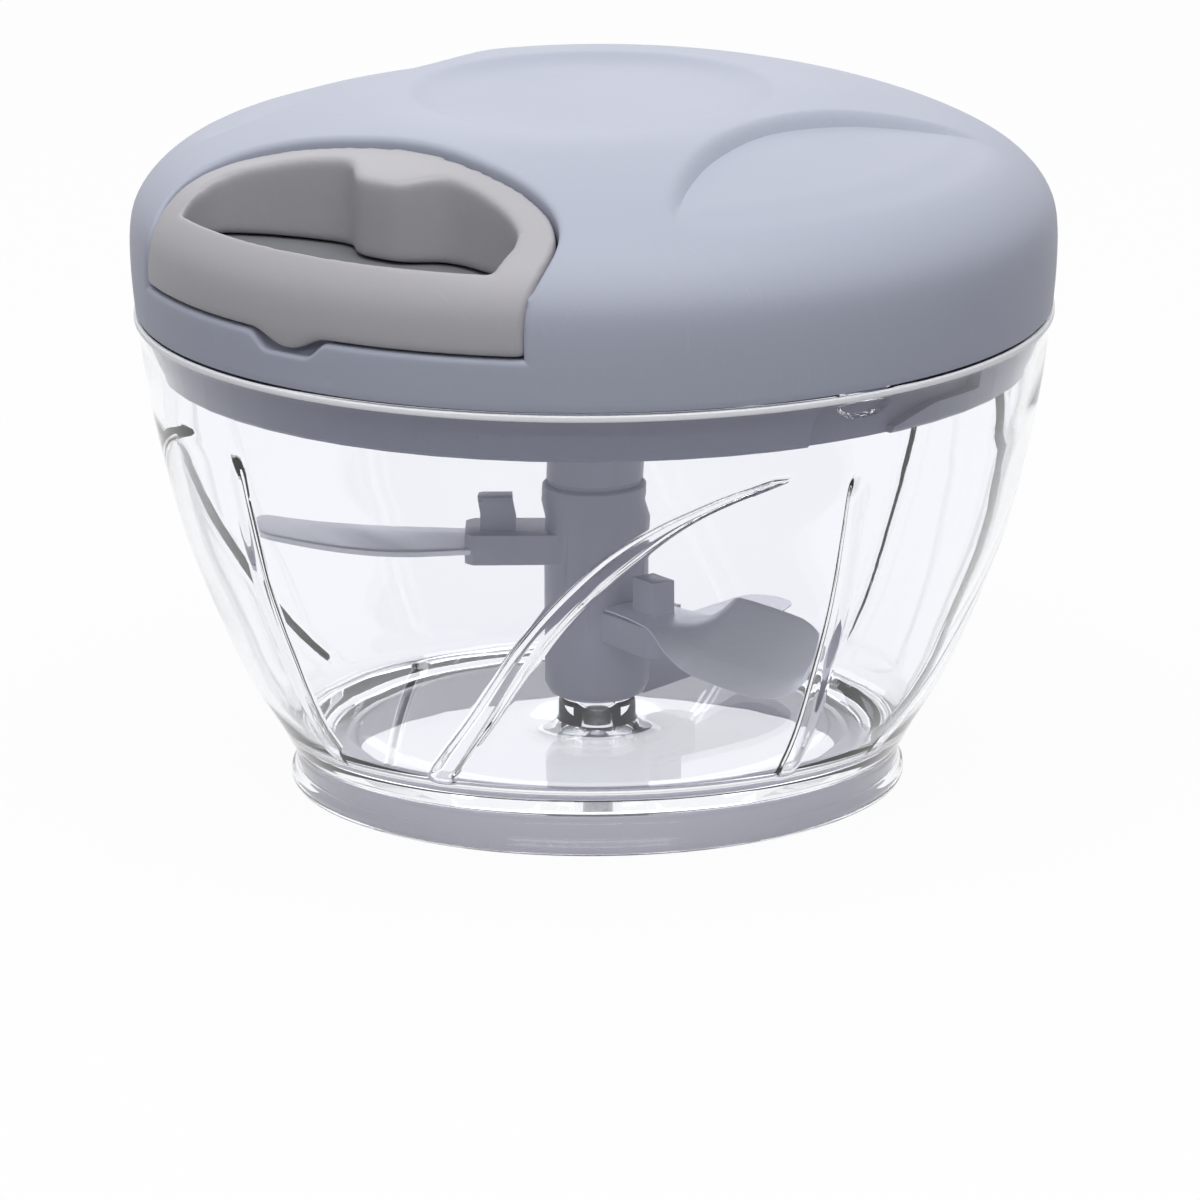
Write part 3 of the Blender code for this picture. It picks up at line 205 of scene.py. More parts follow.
# The bowl's floor with the pin's boss, outwards, and its foot, inwards, as (radius, height)
BOWL_FLOOR = (
    (0.0, 7.6),
    (2.3, 7.6),
    (2.3, 11.5),
    (2.45, 11.7),
    (4.5, 11.7),
    (4.95, 11.55),
    (5.2, 11.1),
    (5.25, 9.2),
    (5.5, 8.65),
    (6.2, 8.5),
    (12.0, 8.5),
    (20.0, 8.5),
    (28.0, 8.5),
    (35.0, 8.5),
    (37.6, 8.5),
    (39.0, 8.7),
    (40.2, 9.2),
    (41.2, 10.0),
)
BOWL_FOOT = (
    (41.3, 6.2),
    (41.1, 5.5),
    (41.0, 4.4),
    (40.95, 3.3),
    (41.0, 2.9),
    (41.25, 2.55),
    (41.55, 2.25),
    (41.7, 1.8),
    (41.68, 1.3),
    (41.5, 0.85),
    (41.2, 0.55),
    (40.85, 0.42),
    (40.6, 0.5),
    (40.2, 0.95),
    (39.75, 1.6),
    (39.55, 2.0),
    (39.5, 2.3),
    (39.5, 6.1),
    (39.3, 6.3),
    (30.0, 6.3),
    (12.0, 6.3),
    (0.0, 6.3),
)


def spline(x, y, at):
    """A natural cubic spline through (x, y), read at many places at once."""
    x, y, at = (np.asarray(item, float) for item in (x, y, at))
    step = np.diff(x)
    slope = np.diff(y) / step
    size = len(x)
    system = np.eye(size)
    right = np.zeros(size)
    for i in range(1, size - 1):
        system[i, i - 1 : i + 2] = step[i - 1], 2 * (step[i - 1] + step[i]), step[i]
        right[i] = 6 * (slope[i] - slope[i - 1])
    bend = np.linalg.solve(system, right)
    i = np.clip(np.searchsorted(x, at) - 1, 0, size - 2)
    h = step[i]
    a = (x[i + 1] - at) / h
    b = (at - x[i]) / h
    return a * y[i] + b * y[i + 1] + ((a**3 - a) * bend[i] + (b**3 - b) * bend[i + 1]) * h * h / 6


def lengths_along(points):
    """How far along a chain each of its points lies."""
    return np.r_[0.0, np.cumsum(np.linalg.norm(np.diff(points, axis=0), axis=1))]


def smooth_chain(stations, count):
    """Evenly spaced points on a smooth curve through stations: one spline per coordinate over the length."""
    stations = np.asarray(stations, float)
    chord = lengths_along(stations)
    at = np.linspace(0.0, chord[-1], count)
    return np.stack([spline(chord, stations[:, k], at) for k in range(stations.shape[1])], axis=1)


def through(stations, spacing):
    """The same, at about a spacing."""
    return smooth_chain(stations, max(2, int(round(lengths_along(stations)[-1] / spacing)) + 1))


def evened(points, count):
    """A number of evenly spaced points on the straight lines between points."""
    along = lengths_along(points)
    at = np.linspace(0.0, along[-1], count)
    return np.stack([np.interp(at, along, points[:, k]) for k in range(points.shape[1])], axis=1)


def bezier(first, corner, last, share):
    """A curve that leaves first and reaches last along the lines to a corner."""
    return first * (1 - share) ** 2 + corner * 2 * share * (1 - share) + last * share**2


def directions(path):
    """The unit direction of a path at each of its points."""
    ahead = np.gradient(path, axis=0)
    return ahead / np.linalg.norm(ahead, axis=1)[:, None]


def eased(value):
    """0 to 1 with level ends: 3v^2 - 2v^3."""
    value = np.clip(value, 0.0, 1.0)
    return value * value * (3 - 2 * value)


def rotated(points, degrees):
    """Points turned about +Z."""
    turn = math.radians(degrees)
    out = np.array(points, float)
    x, y = out[..., 0].copy(), out[..., 1].copy()
    out[..., 0] = x * math.cos(turn) - y * math.sin(turn)
    out[..., 1] = x * math.sin(turn) + y * math.cos(turn)
    return out


def polar(radius, degrees, height=0.0):
    """Radius, angle from -Y towards +X, and height, as points. Any of them may be an array."""
    turn = np.radians(degrees)
    radius, turn, height = np.broadcast_arrays(radius, turn, height)
    return np.stack((radius * np.sin(turn), -radius * np.cos(turn), height), axis=-1)


def grid_faces(rows, columns, close_rows=False, close_columns=False):
    """The quads of a grid of rows by columns points, as an array of four indices each."""
    i = np.arange(rows if close_rows else rows - 1)[:, None]
    j = np.arange(columns if close_columns else columns - 1)[None, :]
    a = i * columns + j
    b = i * columns + (j + 1) % columns
    c = (i + 1) % rows * columns + (j + 1) % columns
    d = (i + 1) % rows * columns + j
    return np.stack((a, b, c, d), axis=-1).reshape(-1, 4)


def turned_grid(profile, steps):
    """A surface of revolution: every (radius, height) of the profile at every one of the steps about +Z."""
    profile = np.asarray(profile, float)
    angle = np.arange(steps) * (360.0 / steps)
    return polar(profile[:, None, 0], angle[None, :], profile[:, None, 1])


class Shape:
    """Collects grids and loose faces in millimetres, then makes one mesh object in metres."""

    def __init__(self):
        self.points = []
        self.faces = []
        self.count = 0

    def add(self, points, faces):
        points = np.asarray(points, float).reshape(-1, 3)
        self.points.append(points)
        self.faces.extend((np.asarray(face) + self.count).tolist() for face in faces)
        self.count += len(points)

    def grid(self, points, close_rows=False, close_columns=False):
        self.add(points, grid_faces(points.shape[0], points.shape[1], close_rows, close_columns))

    def make(self, name, sharp=35.0, merge=0.002, outward=True):
        mesh = bpy.data.meshes.new(name)
        mesh.from_pydata(np.concatenate(self.points) * MM, [], self.faces)
        tidy(mesh, merge * MM, outward)
        mesh.shade_smooth()
        mesh.set_sharp_from_angle(angle=math.radians(sharp))
        return linked(name, mesh)


def linked(name, data):
    """A new object in the scene for a mesh, a lamp or a camera."""
    obj = bpy.data.objects.new(name, data)
    bpy.context.scene.collection.objects.link(obj)
    return obj


def tidy(mesh, merge, outward):
    """Merges points that fall together, drops empty faces and turns every face outwards."""
    bm = bmesh.new()
    bm.from_mesh(mesh)
    bmesh.ops.remove_doubles(bm, verts=bm.verts, dist=merge)
    bmesh.ops.dissolve_degenerate(bm, edges=bm.edges, dist=merge * 0.5)
    if outward:
        bmesh.ops.recalc_face_normals(bm, faces=bm.faces)
    bm.to_mesh(mesh)
    bm.free()


def dress(obj, body, material, slot, *nodes):
    """Gives a piece its finish, its body, and the CAD nodes that it stands for."""
    obj.data.materials.clear()
    obj.data.materials.append(material)
    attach(obj, body)
    if nodes:
        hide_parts(*nodes)
    return obj


def tube(path, radius, sides):
    """A round section carried along a path on a frame that turns as little as it can; its ends are left open.
    """
    path = np.asarray(path, float)
    ahead = directions(path)
    side = np.cross(ahead, (0.0, 0.0, 1.0))
    side /= np.linalg.norm(side, axis=1)[:, None]
    up = np.cross(side, ahead)
    turn = np.linspace(0.0, 2 * math.pi, sides, endpoint=False)
    ring = np.cos(turn)[None, :, None] * side[:, None, :] + np.sin(turn)[None, :, None] * up[:, None, :]
    return path[:, None, :] + ring * radius


def inside(points, outline):
    """Which points in plan lie inside a closed outline: an odd number of its edges crosses the ray to +X."""
    x, y = points[:, 0, None], points[:, 1, None]
    x1, y1 = outline[:, 0], outline[:, 1]
    x2, y2 = np.roll(x1, -1), np.roll(y1, -1)
    crosses = (y1 > y) != (y2 > y)
    with np.errstate(divide="ignore", invalid="ignore"):
        at = x1 + (y - y1) * (x2 - x1) / (y2 - y1)
    return (crosses & (x < at)).sum(axis=1) % 2 == 1


def triangulated(points, chains, outer=None, holes=()):
    """Triangles over points in a plane that keep the chains as edges, inside outer and outside the holes."""
    points = np.asarray(points, float)
    edges = []
    count = len(points)
    everything = [points]
    for chain, closed in chains:
        chain = np.asarray(chain, float)
        last = len(chain) if closed else len(chain) - 1
        edges += [(count + i, count + (i + 1) % len(chain)) for i in range(last)]
        everything.append(chain)
        count += len(chain)
    flat = np.concatenate(everything)
    made = geometry.delaunay_2d_cdt([Vector(point) for point in flat], edges, [], 0, 1e-6)
    places = np.array([tuple(point) for point in made[0]])
    faces = np.array([face for face in made[2] if len(face) == 3])
    middle = places[faces].mean(axis=1)
    keep = np.ones(len(faces), bool)
    if outer is not None:
        keep &= inside(middle, np.asarray(outer, float))
    for hole in holes:
        keep &= ~inside(middle, np.asarray(hole, float))
    return places, faces[keep]


def far_from(points, chain, distance):
    """Which points lie at least a distance away from every point of a chain."""
    keep = np.ones(len(points), bool)
    for start in range(0, len(points), 4000):
        block = points[start : start + 4000]
        gap = np.linalg.norm(block[:, None, :] - chain[None, :, :], axis=2).min(axis=1)
        keep[start : start + 4000] = gap > distance
    return keep


# The lid's outer surface


class LidSkin:
    """The lid's outer surface over (angle, length along the profile)."""

    def __init__(self, lobe_depth, spread=52.0):
        dish = through(LID_DISH, 0.4)
        dome = through(LID_DOME, 0.25)
        self.profile = np.concatenate((dish, dome[1:]))
        self.along = lengths_along(self.profile)
        self.spread = spread
        self.lobe_depth = lobe_depth
        shoulder = int(np.argmax(self.profile[:, 0] > SHOULDER_RADIUS))
        self.top = self.profile[: shoulder + 1]
        self.top_along = self.along[: shoulder + 1]
        low = self.profile[shoulder:][::-1]
        self.side_heights = low[:, 1]
        self.side_along = self.along[shoulder:][::-1]

    def radius(self, along):
        return np.interp(along, self.along, self.profile[:, 0])

    def height(self, along):
        return np.interp(along, self.along, self.profile[:, 1])

    def dome_height(self, radius):
        return np.interp(radius, self.profile[: len(self.top), 0], self.top[:, 1])

    def dome_over(self, x, y):
        """The dome's height over a place in plan, out to the shoulder and then down the side."""
        radius = np.hypot(x, y)
        shoulder = self.profile[: int(np.argmax(self.profile[:, 1] < SIDE_TOP)) + 1]
        return np.interp(radius, shoulder[:, 0], shoulder[:, 1])

    def flat(self, x, y, z=None):
        """Where a point of the surface lies in the plane that is triangulated."""
        radius = np.hypot(x, y)
        along = np.interp(radius, self.top[:, 0], self.top_along)
        if z is not None:
            low = radius >= self.top[-1, 0] - 0.01
            along = np.where(low, np.interp(z, self.side_heights, self.side_along), along)
        return np.stack((np.arctan2(x, -y) * self.spread, along), axis=-1)

    def lobe_drop(self, x, y):
        """How far the finger lobes sink the dome: full inside their edge, less over the slope outside it."""
        u = np.abs(x)
        w = np.abs(y)
        edge = np.asarray(LOBE_EDGE)
        floor = np.asarray(LOBE_FLOOR)
        at = np.interp(w, edge[:, 0], edge[:, 1])
        lean = np.interp(w + 0.5, edge[:, 0], edge[:, 1]) - np.interp(w - 0.5, edge[:, 0], edge[:, 1])
        gap = (u - at) / np.hypot(1.0, lean)
        share = np.clip((gap + LOBE_SLOPE) / LOBE_SLOPE, 0.0, 1.0) ** LOBE_POWER
        radius = np.hypot(x, y)
        depth = self.dome_height(np.minimum(radius, 61.0)) - np.interp(radius, floor[:, 0], floor[:, 1])
        fade = 1.0 - eased((w - LOBE_FADE_FROM) / LOBE_FADE)
        return np.maximum(depth, 0.0) * share * fade * self.lobe_depth / LOBE_FULL_DEPTH

    def lobe_lines(self):
        """The lobes' edge, the top of its slope and a line between them, on both sides, as flat chains."""
        edge = np.asarray(LOBE_EDGE)
        chains = []
        for shift in (0.0, -0.4 * LOBE_SLOPE, -LOBE_SLOPE):
            w = np.arange(-31.0, 31.01, 0.8)
            u = np.interp(np.abs(w), edge[:, 0], edge[:, 1]) + shift
            for side in (1.0, -1.0):
                chains.append(self.flat(side * u, w))
        return chains

    def lift(self, flat):
        """From the flat plane back to the surface, with the lobes sunk into it."""
        angle = np.degrees(flat[:, 0] / self.spread)
        radius = self.radius(flat[:, 1])
        points = polar(radius, angle, self.height(flat[:, 1]))
        points[:, 2] -= self.lobe_drop(points[:, 0], points[:, 1])
        return points


def handle_outline(offset, spacing):
    """The handle's edge and its mirror image in plan, as one smooth open chain, moved out by an offset."""
    half = np.asarray(HANDLE_EDGE, float)
    chain = through(np.concatenate((half[::-1] * (-1.0, 1.0), half[1:])), spacing)
    ahead = directions(chain)
    chain = chain + np.stack((ahead[:, 1], -ahead[:, 0]), axis=1) * offset
    return np.stack((chain[:, 0], -chain[:, 1]), axis=1)


def pocket_wall(play):
    """The pocket's wall in plan, from the ledge's step round to the step again."""
    edge = handle_outline(play, 0.7)
    return edge[np.hypot(edge[:, 0], edge[:, 1]) < LEDGE_RADIUS - 0.05]


class Pocket:
    """The handle's pocket: its edge on the lid's skin, and the way from the skin into its walls."""

    def __init__(self, skin, play, soft):
        self.skin = skin
        self.play = play
        self.soft = soft

    def ledge(self, angle):
        """Height of the ledge's outer edge: level, with a scoop that sinks it around the middle."""
        across = np.abs(np.radians(angle)) * LID_RADIUS
        beside = (across - SCOOP_FLAT) / (SCOOP_HALF_WIDTH - SCOOP_FLAT)
        return LEDGE_TOP - SCOOP_DEPTH * (1.0 - eased(beside))

    def edge(self, offset):
        """The edge moved out by an offset: over the dome, down the side, along the ledge and up again."""
        skin = self.skin
        dome = handle_outline(offset, 0.5)
        radius = np.hypot(dome[:, 0], dome[:, 1])
        inner = dome[radius < 61.2]
        flank = abs(float(dome[0, 0]))
        start = float(np.interp(61.3, skin.top[:, 0], skin.top[:, 1]))
        heights = np.linspace(start, LEDGE_TOP - (offset - self.play), 22)
        side_radius = np.interp(heights, skin.side_heights, skin.radius(skin.side_along))
        out = np.sqrt(np.maximum(side_radius**2 - flank**2, 0.0))
        right = np.stack((np.full_like(out, flank), -out, heights), axis=1)
        top = np.column_stack((inner, skin.dome_over(inner[:, 0], inner[:, 1])))
        corner = math.degrees(math.atan2(flank, out[-1]))
        angle = np.linspace(corner, -corner, 140)[1:-1]
        low = self.ledge(angle) - (offset - self.play)
        bottom = polar(LID_RADIUS, angle, low)
        left = right[::-1] * (-1.0, 1.0, 1.0)
        return [top, right, bottom, left]

    def chain(self, offset, count):
        """The closed edge at even steps, so that two chains of different offsets match point for point."""
        return np.concatenate([evened(piece, steps) for piece, steps in zip(self.edge(offset), count)])

    def inward(self, points):
        """The skin's inward direction: straight down on the dome, towards the axis on the side."""
        radius = np.hypot(points[:, 0], points[:, 1])
        slope = np.interp(radius, (56.0, 59.0, 61.0, 62.0), (0.0, 0.35, 1.1, 1.5))
        slope = np.where(points[:, 2] < 78.0, math.pi / 2, np.minimum(slope, math.pi / 2))
        out = points[:, :2] / radius[:, None]
        return np.column_stack((-out * np.sin(slope)[:, None], -np.cos(slope)))


def lid_outer(shape, skin, pocket):
    """The skin outside the pocket, as flat triangles lifted onto the lid, and the pocket's walls.

    The rounded strip is a Bezier of the skin, the sharp corner and the wall, and the wall drops from it.
    """
    count = (190, 26, 130, 26)
    rim = pocket.chain(pocket.play + pocket.soft, count)
    corner = pocket.chain(pocket.play, count)
    hole = skin.flat(rim[:, 0], rim[:, 1], rim[:, 2])
    keep = np.ones(len(hole), bool)
    keep[1:] = np.linalg.norm(np.diff(hole, axis=0), axis=1) > 0.05
    rim, corner, hole = rim[keep], corner[keep], hole[keep]

    start = float(np.interp(DISH_RADIUS, skin.top[:, 0], skin.top_along))
    end = float(skin.along[-1])
    half = math.pi * skin.spread
    turns = np.linspace(-half, half, 361)
    levels = np.linspace(start, end, 62)
    across, along = np.meshgrid(turns, levels)
    points = np.stack((across.ravel(), along.ravel()), axis=1)
    chains = skin.lobe_lines()
    fine_u, fine_w = np.meshgrid(np.arange(27.0, 42.0, 0.42), np.arange(-34.0, 34.01, 0.6))
    for side in (1.0, -1.0):
        points = np.concatenate((points, skin.flat(side * fine_u.ravel(), fine_w.ravel())))
    border = np.abs(points[:, 0]) > half - 0.01
    border |= (points[:, 1] < start + 0.01) | (points[:, 1] > end - 0.01)
    clear = ~inside(points, hole)
    for chain in chains + [hole]:
        clear &= far_from(points, chain, 0.36)
    points = points[border | clear]
    flat, faces = triangulated(points, [(chain, False) for chain in chains] + [(hole, True)], holes=[hole])
    shape.add(skin.lift(flat), faces)

    wall = corner + pocket.inward(corner) * pocket.soft
    on_skin = skin.lift(hole)
    share = np.linspace(0.0, 1.0, 6)[:, None, None]
    shape.grid(bezier(on_skin, corner, wall, share), close_columns=True)
    low = wall[:, 2] < LEDGE_TOP + 0.05
    angle = np.degrees(np.arctan2(wall[:, 0], -wall[:, 1]))
    widest = math.degrees(math.asin(min(1.0, float(np.abs(wall[:, 0]).max()) / LEDGE_RADIUS)))
    spread = widest / float(np.abs(angle[low]).max())
    foot = wall.copy()
    foot[:, 2] = LEDGE_TOP - 1.2
    foot[low] = polar(LEDGE_RADIUS, angle[low] * spread, LEDGE_TOP)
    rows = np.linspace(0.0, 1.0, 9)[:, None, None]
    ruled = wall + (foot - wall) * rows
    hollow = np.where(low, eased((rows[..., 0] - 0.1) / 0.55), 1.0)
    level = ruled[..., 2]
    ruled[..., 2] = np.where(low[None, :], wall[None, :, 2] + (LEDGE_TOP - wall[None, :, 2]) * hollow, level)
    shape.grid(ruled, close_columns=True)
    turns = np.linspace(-widest, widest, 90)
    shape.grid(np.stack([polar(LEDGE_RADIUS, turns, z) for z in (LEDGE_TOP, POCKET_FLOOR)]))


def pocket_floor(play, height):
    """The pocket's floor: the plan inside its walls and inside the ledge's step."""
    edge = pocket_wall(play)
    widest = math.degrees(math.atan2(edge[-1, 0], -edge[-1, 1]))
    arc = polar(LEDGE_RADIUS, np.linspace(widest, -widest, 70))[:, :2]
    outline = np.concatenate((edge, arc))
    x, y = np.meshgrid(np.arange(-33.0, 33.1, 1.2), np.arange(-57.0, -34.0, 1.2))
    grid = np.stack((x.ravel(), y.ravel()), axis=1)
    grid = grid[inside(grid, outline) & far_from(grid, outline, 0.5)]
    flat, faces = triangulated(grid, [(outline, True)], outer=outline)
    return np.column_stack((flat, np.full(len(flat), height))), faces


def lid_inside(shape, play):
    """The lip, the step that takes the plate, and the hollow under the dome, dropped below the pocket."""
    lip = ((61.8, 66.5), (61.7, 66.36), (61.4, 66.3), (61.1, 66.34), (60.92, 66.5), (60.85, 66.8))
    hollow = (
        (60.2, 70.2),
        (60.5, 73.5),
        (60.5, 77.4),
        (59.8, 80.2),
        (58.0, 82.8),
        (54.0, 85.5),
        (48.0, 87.7),
        (42.0, 89.1),
        (36.0, 90.4),
        (30.5, 92.4),
        (12.0, 92.4),
        (5.2, 92.4),
        (0.0, 92.4),
    )
    profile = np.array((*lip, (60.85, 70.2), hollow[0]))
    points = turned_grid(np.concatenate((profile, evened(np.array(hollow), 90)[1:])), 360)
    plan = points[..., :2].reshape(-1, 2)
    walls = handle_outline(play + LID_WALL, 1.0)
    far = np.array(((float(walls[-1, 0]), -80.0), (float(walls[0, 0]), -80.0)))
    below = inside(plan, np.concatenate((walls, far))).reshape(points.shape[:2])
    radius = np.hypot(points[..., 0], points[..., 1])
    roof = np.where(radius > LEDGE_RADIUS - LID_WALL, LEDGE_TOP - 2.6, POCKET_FLOOR - LID_WALL)
    roof = np.where(points[..., 2] > 70.21, roof, 200.0)
    points[..., 2] = np.where(below, np.minimum(points[..., 2], roof), points[..., 2])
    shape.grid(points, close_columns=True)


# Solids that are cut from each other and then softened


def prism(name, first, last):
    """The closed solid between two outlines that match point for point."""
    count = len(first)
    faces = [list(range(count)), list(range(2 * count - 1, count - 1, -1))]
    faces += [[i, i + count, (i + 1) % count + count, (i + 1) % count] for i in range(count)]
    shape = Shape()
    shape.add(np.concatenate((first, last)), faces)
    return shape.make(name, merge=0.001)


def plan_prism(name, outline, low, high):
    """A closed outline in plan, carried straight up."""
    outline = np.asarray(outline, float)
    ends = [np.column_stack((outline, np.full(len(outline), height))) for height in (low, high)]
    return prism(name, *ends)


def turned_solid(name, profile, steps):
    """A profile that starts and ends on the axis, turned about it."""
    shape = Shape()
    shape.grid(turned_grid(profile, steps), close_columns=True)
    return shape.make(name, merge=0.001)


def shaped(obj):
    """Replaces an object's mesh by what its modifiers make of it."""
    graph = bpy.context.evaluated_depsgraph_get()
    graph.update()
    made = bpy.data.meshes.new_from_object(obj.evaluated_get(graph))
    obj.modifiers.clear()
    obj.data = made
    return obj


def combined(obj, operation, *others):
    """Joins the others to a solid, or cuts it with them, and removes them."""
    for other in others:
        step = obj.modifiers.new("cut", "BOOLEAN")
        step.operation = operation
        step.solver = "EXACT"
        step.object = other
    shaped(obj)
    for other in others:
        bpy.data.objects.remove(other, do_unlink=True)
    return obj


def softened(obj, voxel, rounds):
    """A closed mesh of even small faces over a shape, with its edges rounded by averaging neighbours."""
    remesh = obj.modifiers.new("even", "REMESH")
    remesh.mode = "VOXEL"
    remesh.voxel_size = voxel * MM
    smooth = obj.modifiers.new("soft", "SMOOTH")
    smooth.factor = 0.5
    smooth.iterations = rounds
    shaped(obj)
    obj.data.shade_smooth()
    return obj


def node_copy(name, label):
    """A merged copy of a CAD node as a new object."""
    bm = bmesh.new()
    bm.from_mesh(NODES[name].data)
    bmesh.ops.remove_doubles(bm, verts=bm.verts, dist=0.002 * MM)
    mesh = bpy.data.meshes.new(label)
    bm.to_mesh(mesh)
    bm.free()
    return linked(label, mesh)


def handle_solid(skin):
    """The D of the handle under the lid's own dome, less its finger opening and the hollow under its back.

    The tongue hangs from the front bar's lower edge as one soft lobe: a cosine across, on the bar's curve.
    """
    low = LEDGE_TOP + HANDLE_LIFT
    outline = handle_outline(0.0, 0.6)
    outline = outline[np.hypot(outline[:, 0], outline[:, 1]) < 62.9]
    ends = np.array(((float(outline[-1, 0]), -70.0), (float(outline[0, 0]), -70.0)))
    handle = plan_prism("pull_handle", np.concatenate((outline, ends)), low, 100.0)
    top = skin.profile[skin.profile[:, 1] > 70.0][::3].copy()
    top[:, 1] -= np.interp(top[:, 0], (46.0, 57.0), (0.9, 0.3))
    top = np.concatenate((top, ((LID_RADIUS, low - 1.0), (0.0, low - 1.0))))
    combined(handle, "INTERSECT", turned_solid("handle_shell", top, 300))
    inset = GRIP_RADIUS - 0.06
    roof = POCKET_FLOOR + 0.3
    under = turned_solid("handle_under", ((0.0, 60.0), (inset, 60.0), (inset, roof), (0.0, roof)), 300)
    half = through(OPENING_EDGE, 0.6)
    edge = math.degrees(math.asin(half[-1, 0] / GRIP_RADIUS))
    arc = polar(GRIP_RADIUS, np.linspace(edge, -edge, 60))[:, :2]
    right = half * (1.0, -1.0)
    left = right[::-1][:-1] * (-1.0, 1.0)
    opening = plan_prism("finger_opening", np.concatenate((right, arc, left)), 60.0, 105.0)
    combined(handle, "DIFFERENCE", under, opening)
    turns = np.linspace(-TONGUE_HALF_ANGLE, TONGUE_HALF_ANGLE, 33)
    depth = TONGUE_DEPTH * (1.0 + np.cos(np.radians(turns * 180.0 / TONGUE_HALF_ANGLE)))
    near, far = GRIP_RADIUS + 0.5, 62.2
    root, tip = low + 0.9, low - depth + 0.1
    section = ((near, root), (far, root), (far, tip), (near, tip))
    rows = [polar(radius, turns, height) for radius, height in section]
    shape = Shape()
    shape.grid(np.stack(rows), close_rows=True)
    for end in (0, -1):
        shape.add([row[end] for row in rows], [(0, 1, 2, 3)])
    return combined(handle, "UNION", shape.make("handle_tongue", merge=0.001))


def arm_outline(near, far, width, angle):
    """A bar in plan that reaches out from the axis at an angle, with its two far corners cut."""
    half = width / 2
    cut = min(1.2, half * 0.3)
    sides = ((half, -near), (half, cut - far), (half - cut, -far))
    mirror = ((cut - half, -far), (-half, cut - far))
    return rotated(((-half, -near), *sides, *mirror), angle)


def rounded_edges(obj, width):
    """Joins faces that lie in one plane, then bevels the edges that are left."""
    bm = bmesh.new()
    bm.from_mesh(obj.data)
    bmesh.ops.remove_doubles(bm, verts=bm.verts, dist=0.004 * MM)
    bmesh.ops.dissolve_limit(bm, angle_limit=math.radians(1.0), verts=bm.verts, edges=bm.edges)
    bm.to_mesh(obj.data)
    bm.free()
    bevel = obj.modifiers.new("edges", "BEVEL")
    bevel.limit_method = "ANGLE"
    bevel.angle_limit = math.radians(35.0)
    bevel.width = width * MM
    bevel.segments = 2
    shaped(obj)
    obj.data.shade_smooth()
    obj.data.set_sharp_from_angle(angle=math.radians(32.0))
    return obj


def bored(obj, radius, near, far):
    """Cuts a round hole along the cord's line."""
    around = np.linspace(0.0, 2 * math.pi, 48, endpoint=False)
    ring = np.stack((radius * np.cos(around), np.zeros(48), CORD_HEIGHT + radius * np.sin(around)), axis=1)
    return combined(obj, "DIFFERENCE", prism("bore", ring - (0.0, near, 0.0), ring - (0.0, far, 0.0)))


def rounded_loop(corners, radius, steps):
    """A closed outline with each corner replaced by a Bezier that starts and ends a radius away from it."""
    corners = np.asarray(corners, float)
    points = []
    for i in range(len(corners)):
        before, here, after = corners[i - 1], corners[i], corners[(i + 1) % len(corners)]
        first = here + (before - here) / np.linalg.norm(before - here) * radius
        last = here + (after - here) / np.linalg.norm(after - here) * radius
        share = np.linspace(0.0, 1.0, steps)[:, None]
        points.append(bezier(first, here, last, share))
    return np.concatenate(points)


def ring_piece(name, corners, radius, steps, turns=300):
    """A loop with rounded corners, turned about +Z into a closed ring."""
    profile = rounded_loop(corners, radius, steps)
    shape = Shape()
    shape.grid(turned_grid(profile, turns).transpose(1, 0, 2), close_rows=True, close_columns=True)
    return shape.make(name, sharp=60.0)


# The bowl


def bowl_columns():
    """Places across a quarter of the bowl, close together at the upright rib, 0, and the swept one, 0.5."""
    near = np.concatenate((np.linspace(0.0, 0.066, 16), 0.066 + np.cumsum(np.linspace(0.0048, 0.0125, 20))))
    near = near[near < 0.247]
    half = np.concatenate((near, [0.25], 0.5 - near[::-1][:-1]))
    return np.concatenate((half, 0.5 + half))


def swept_angle(height):
    """The swept rib's angle at each height, upright below its foot and above its tail."""
    stations = np.array(SWEPT_RIB)
    low, high = stations[0, 0], stations[-1, 0]
    path = smooth_chain(stations, 400)
    path[:, 0] = np.maximum.accumulate(path[:, 0])
    return np.interp(np.clip(height, low, high), path[:, 0], path[:, 1])


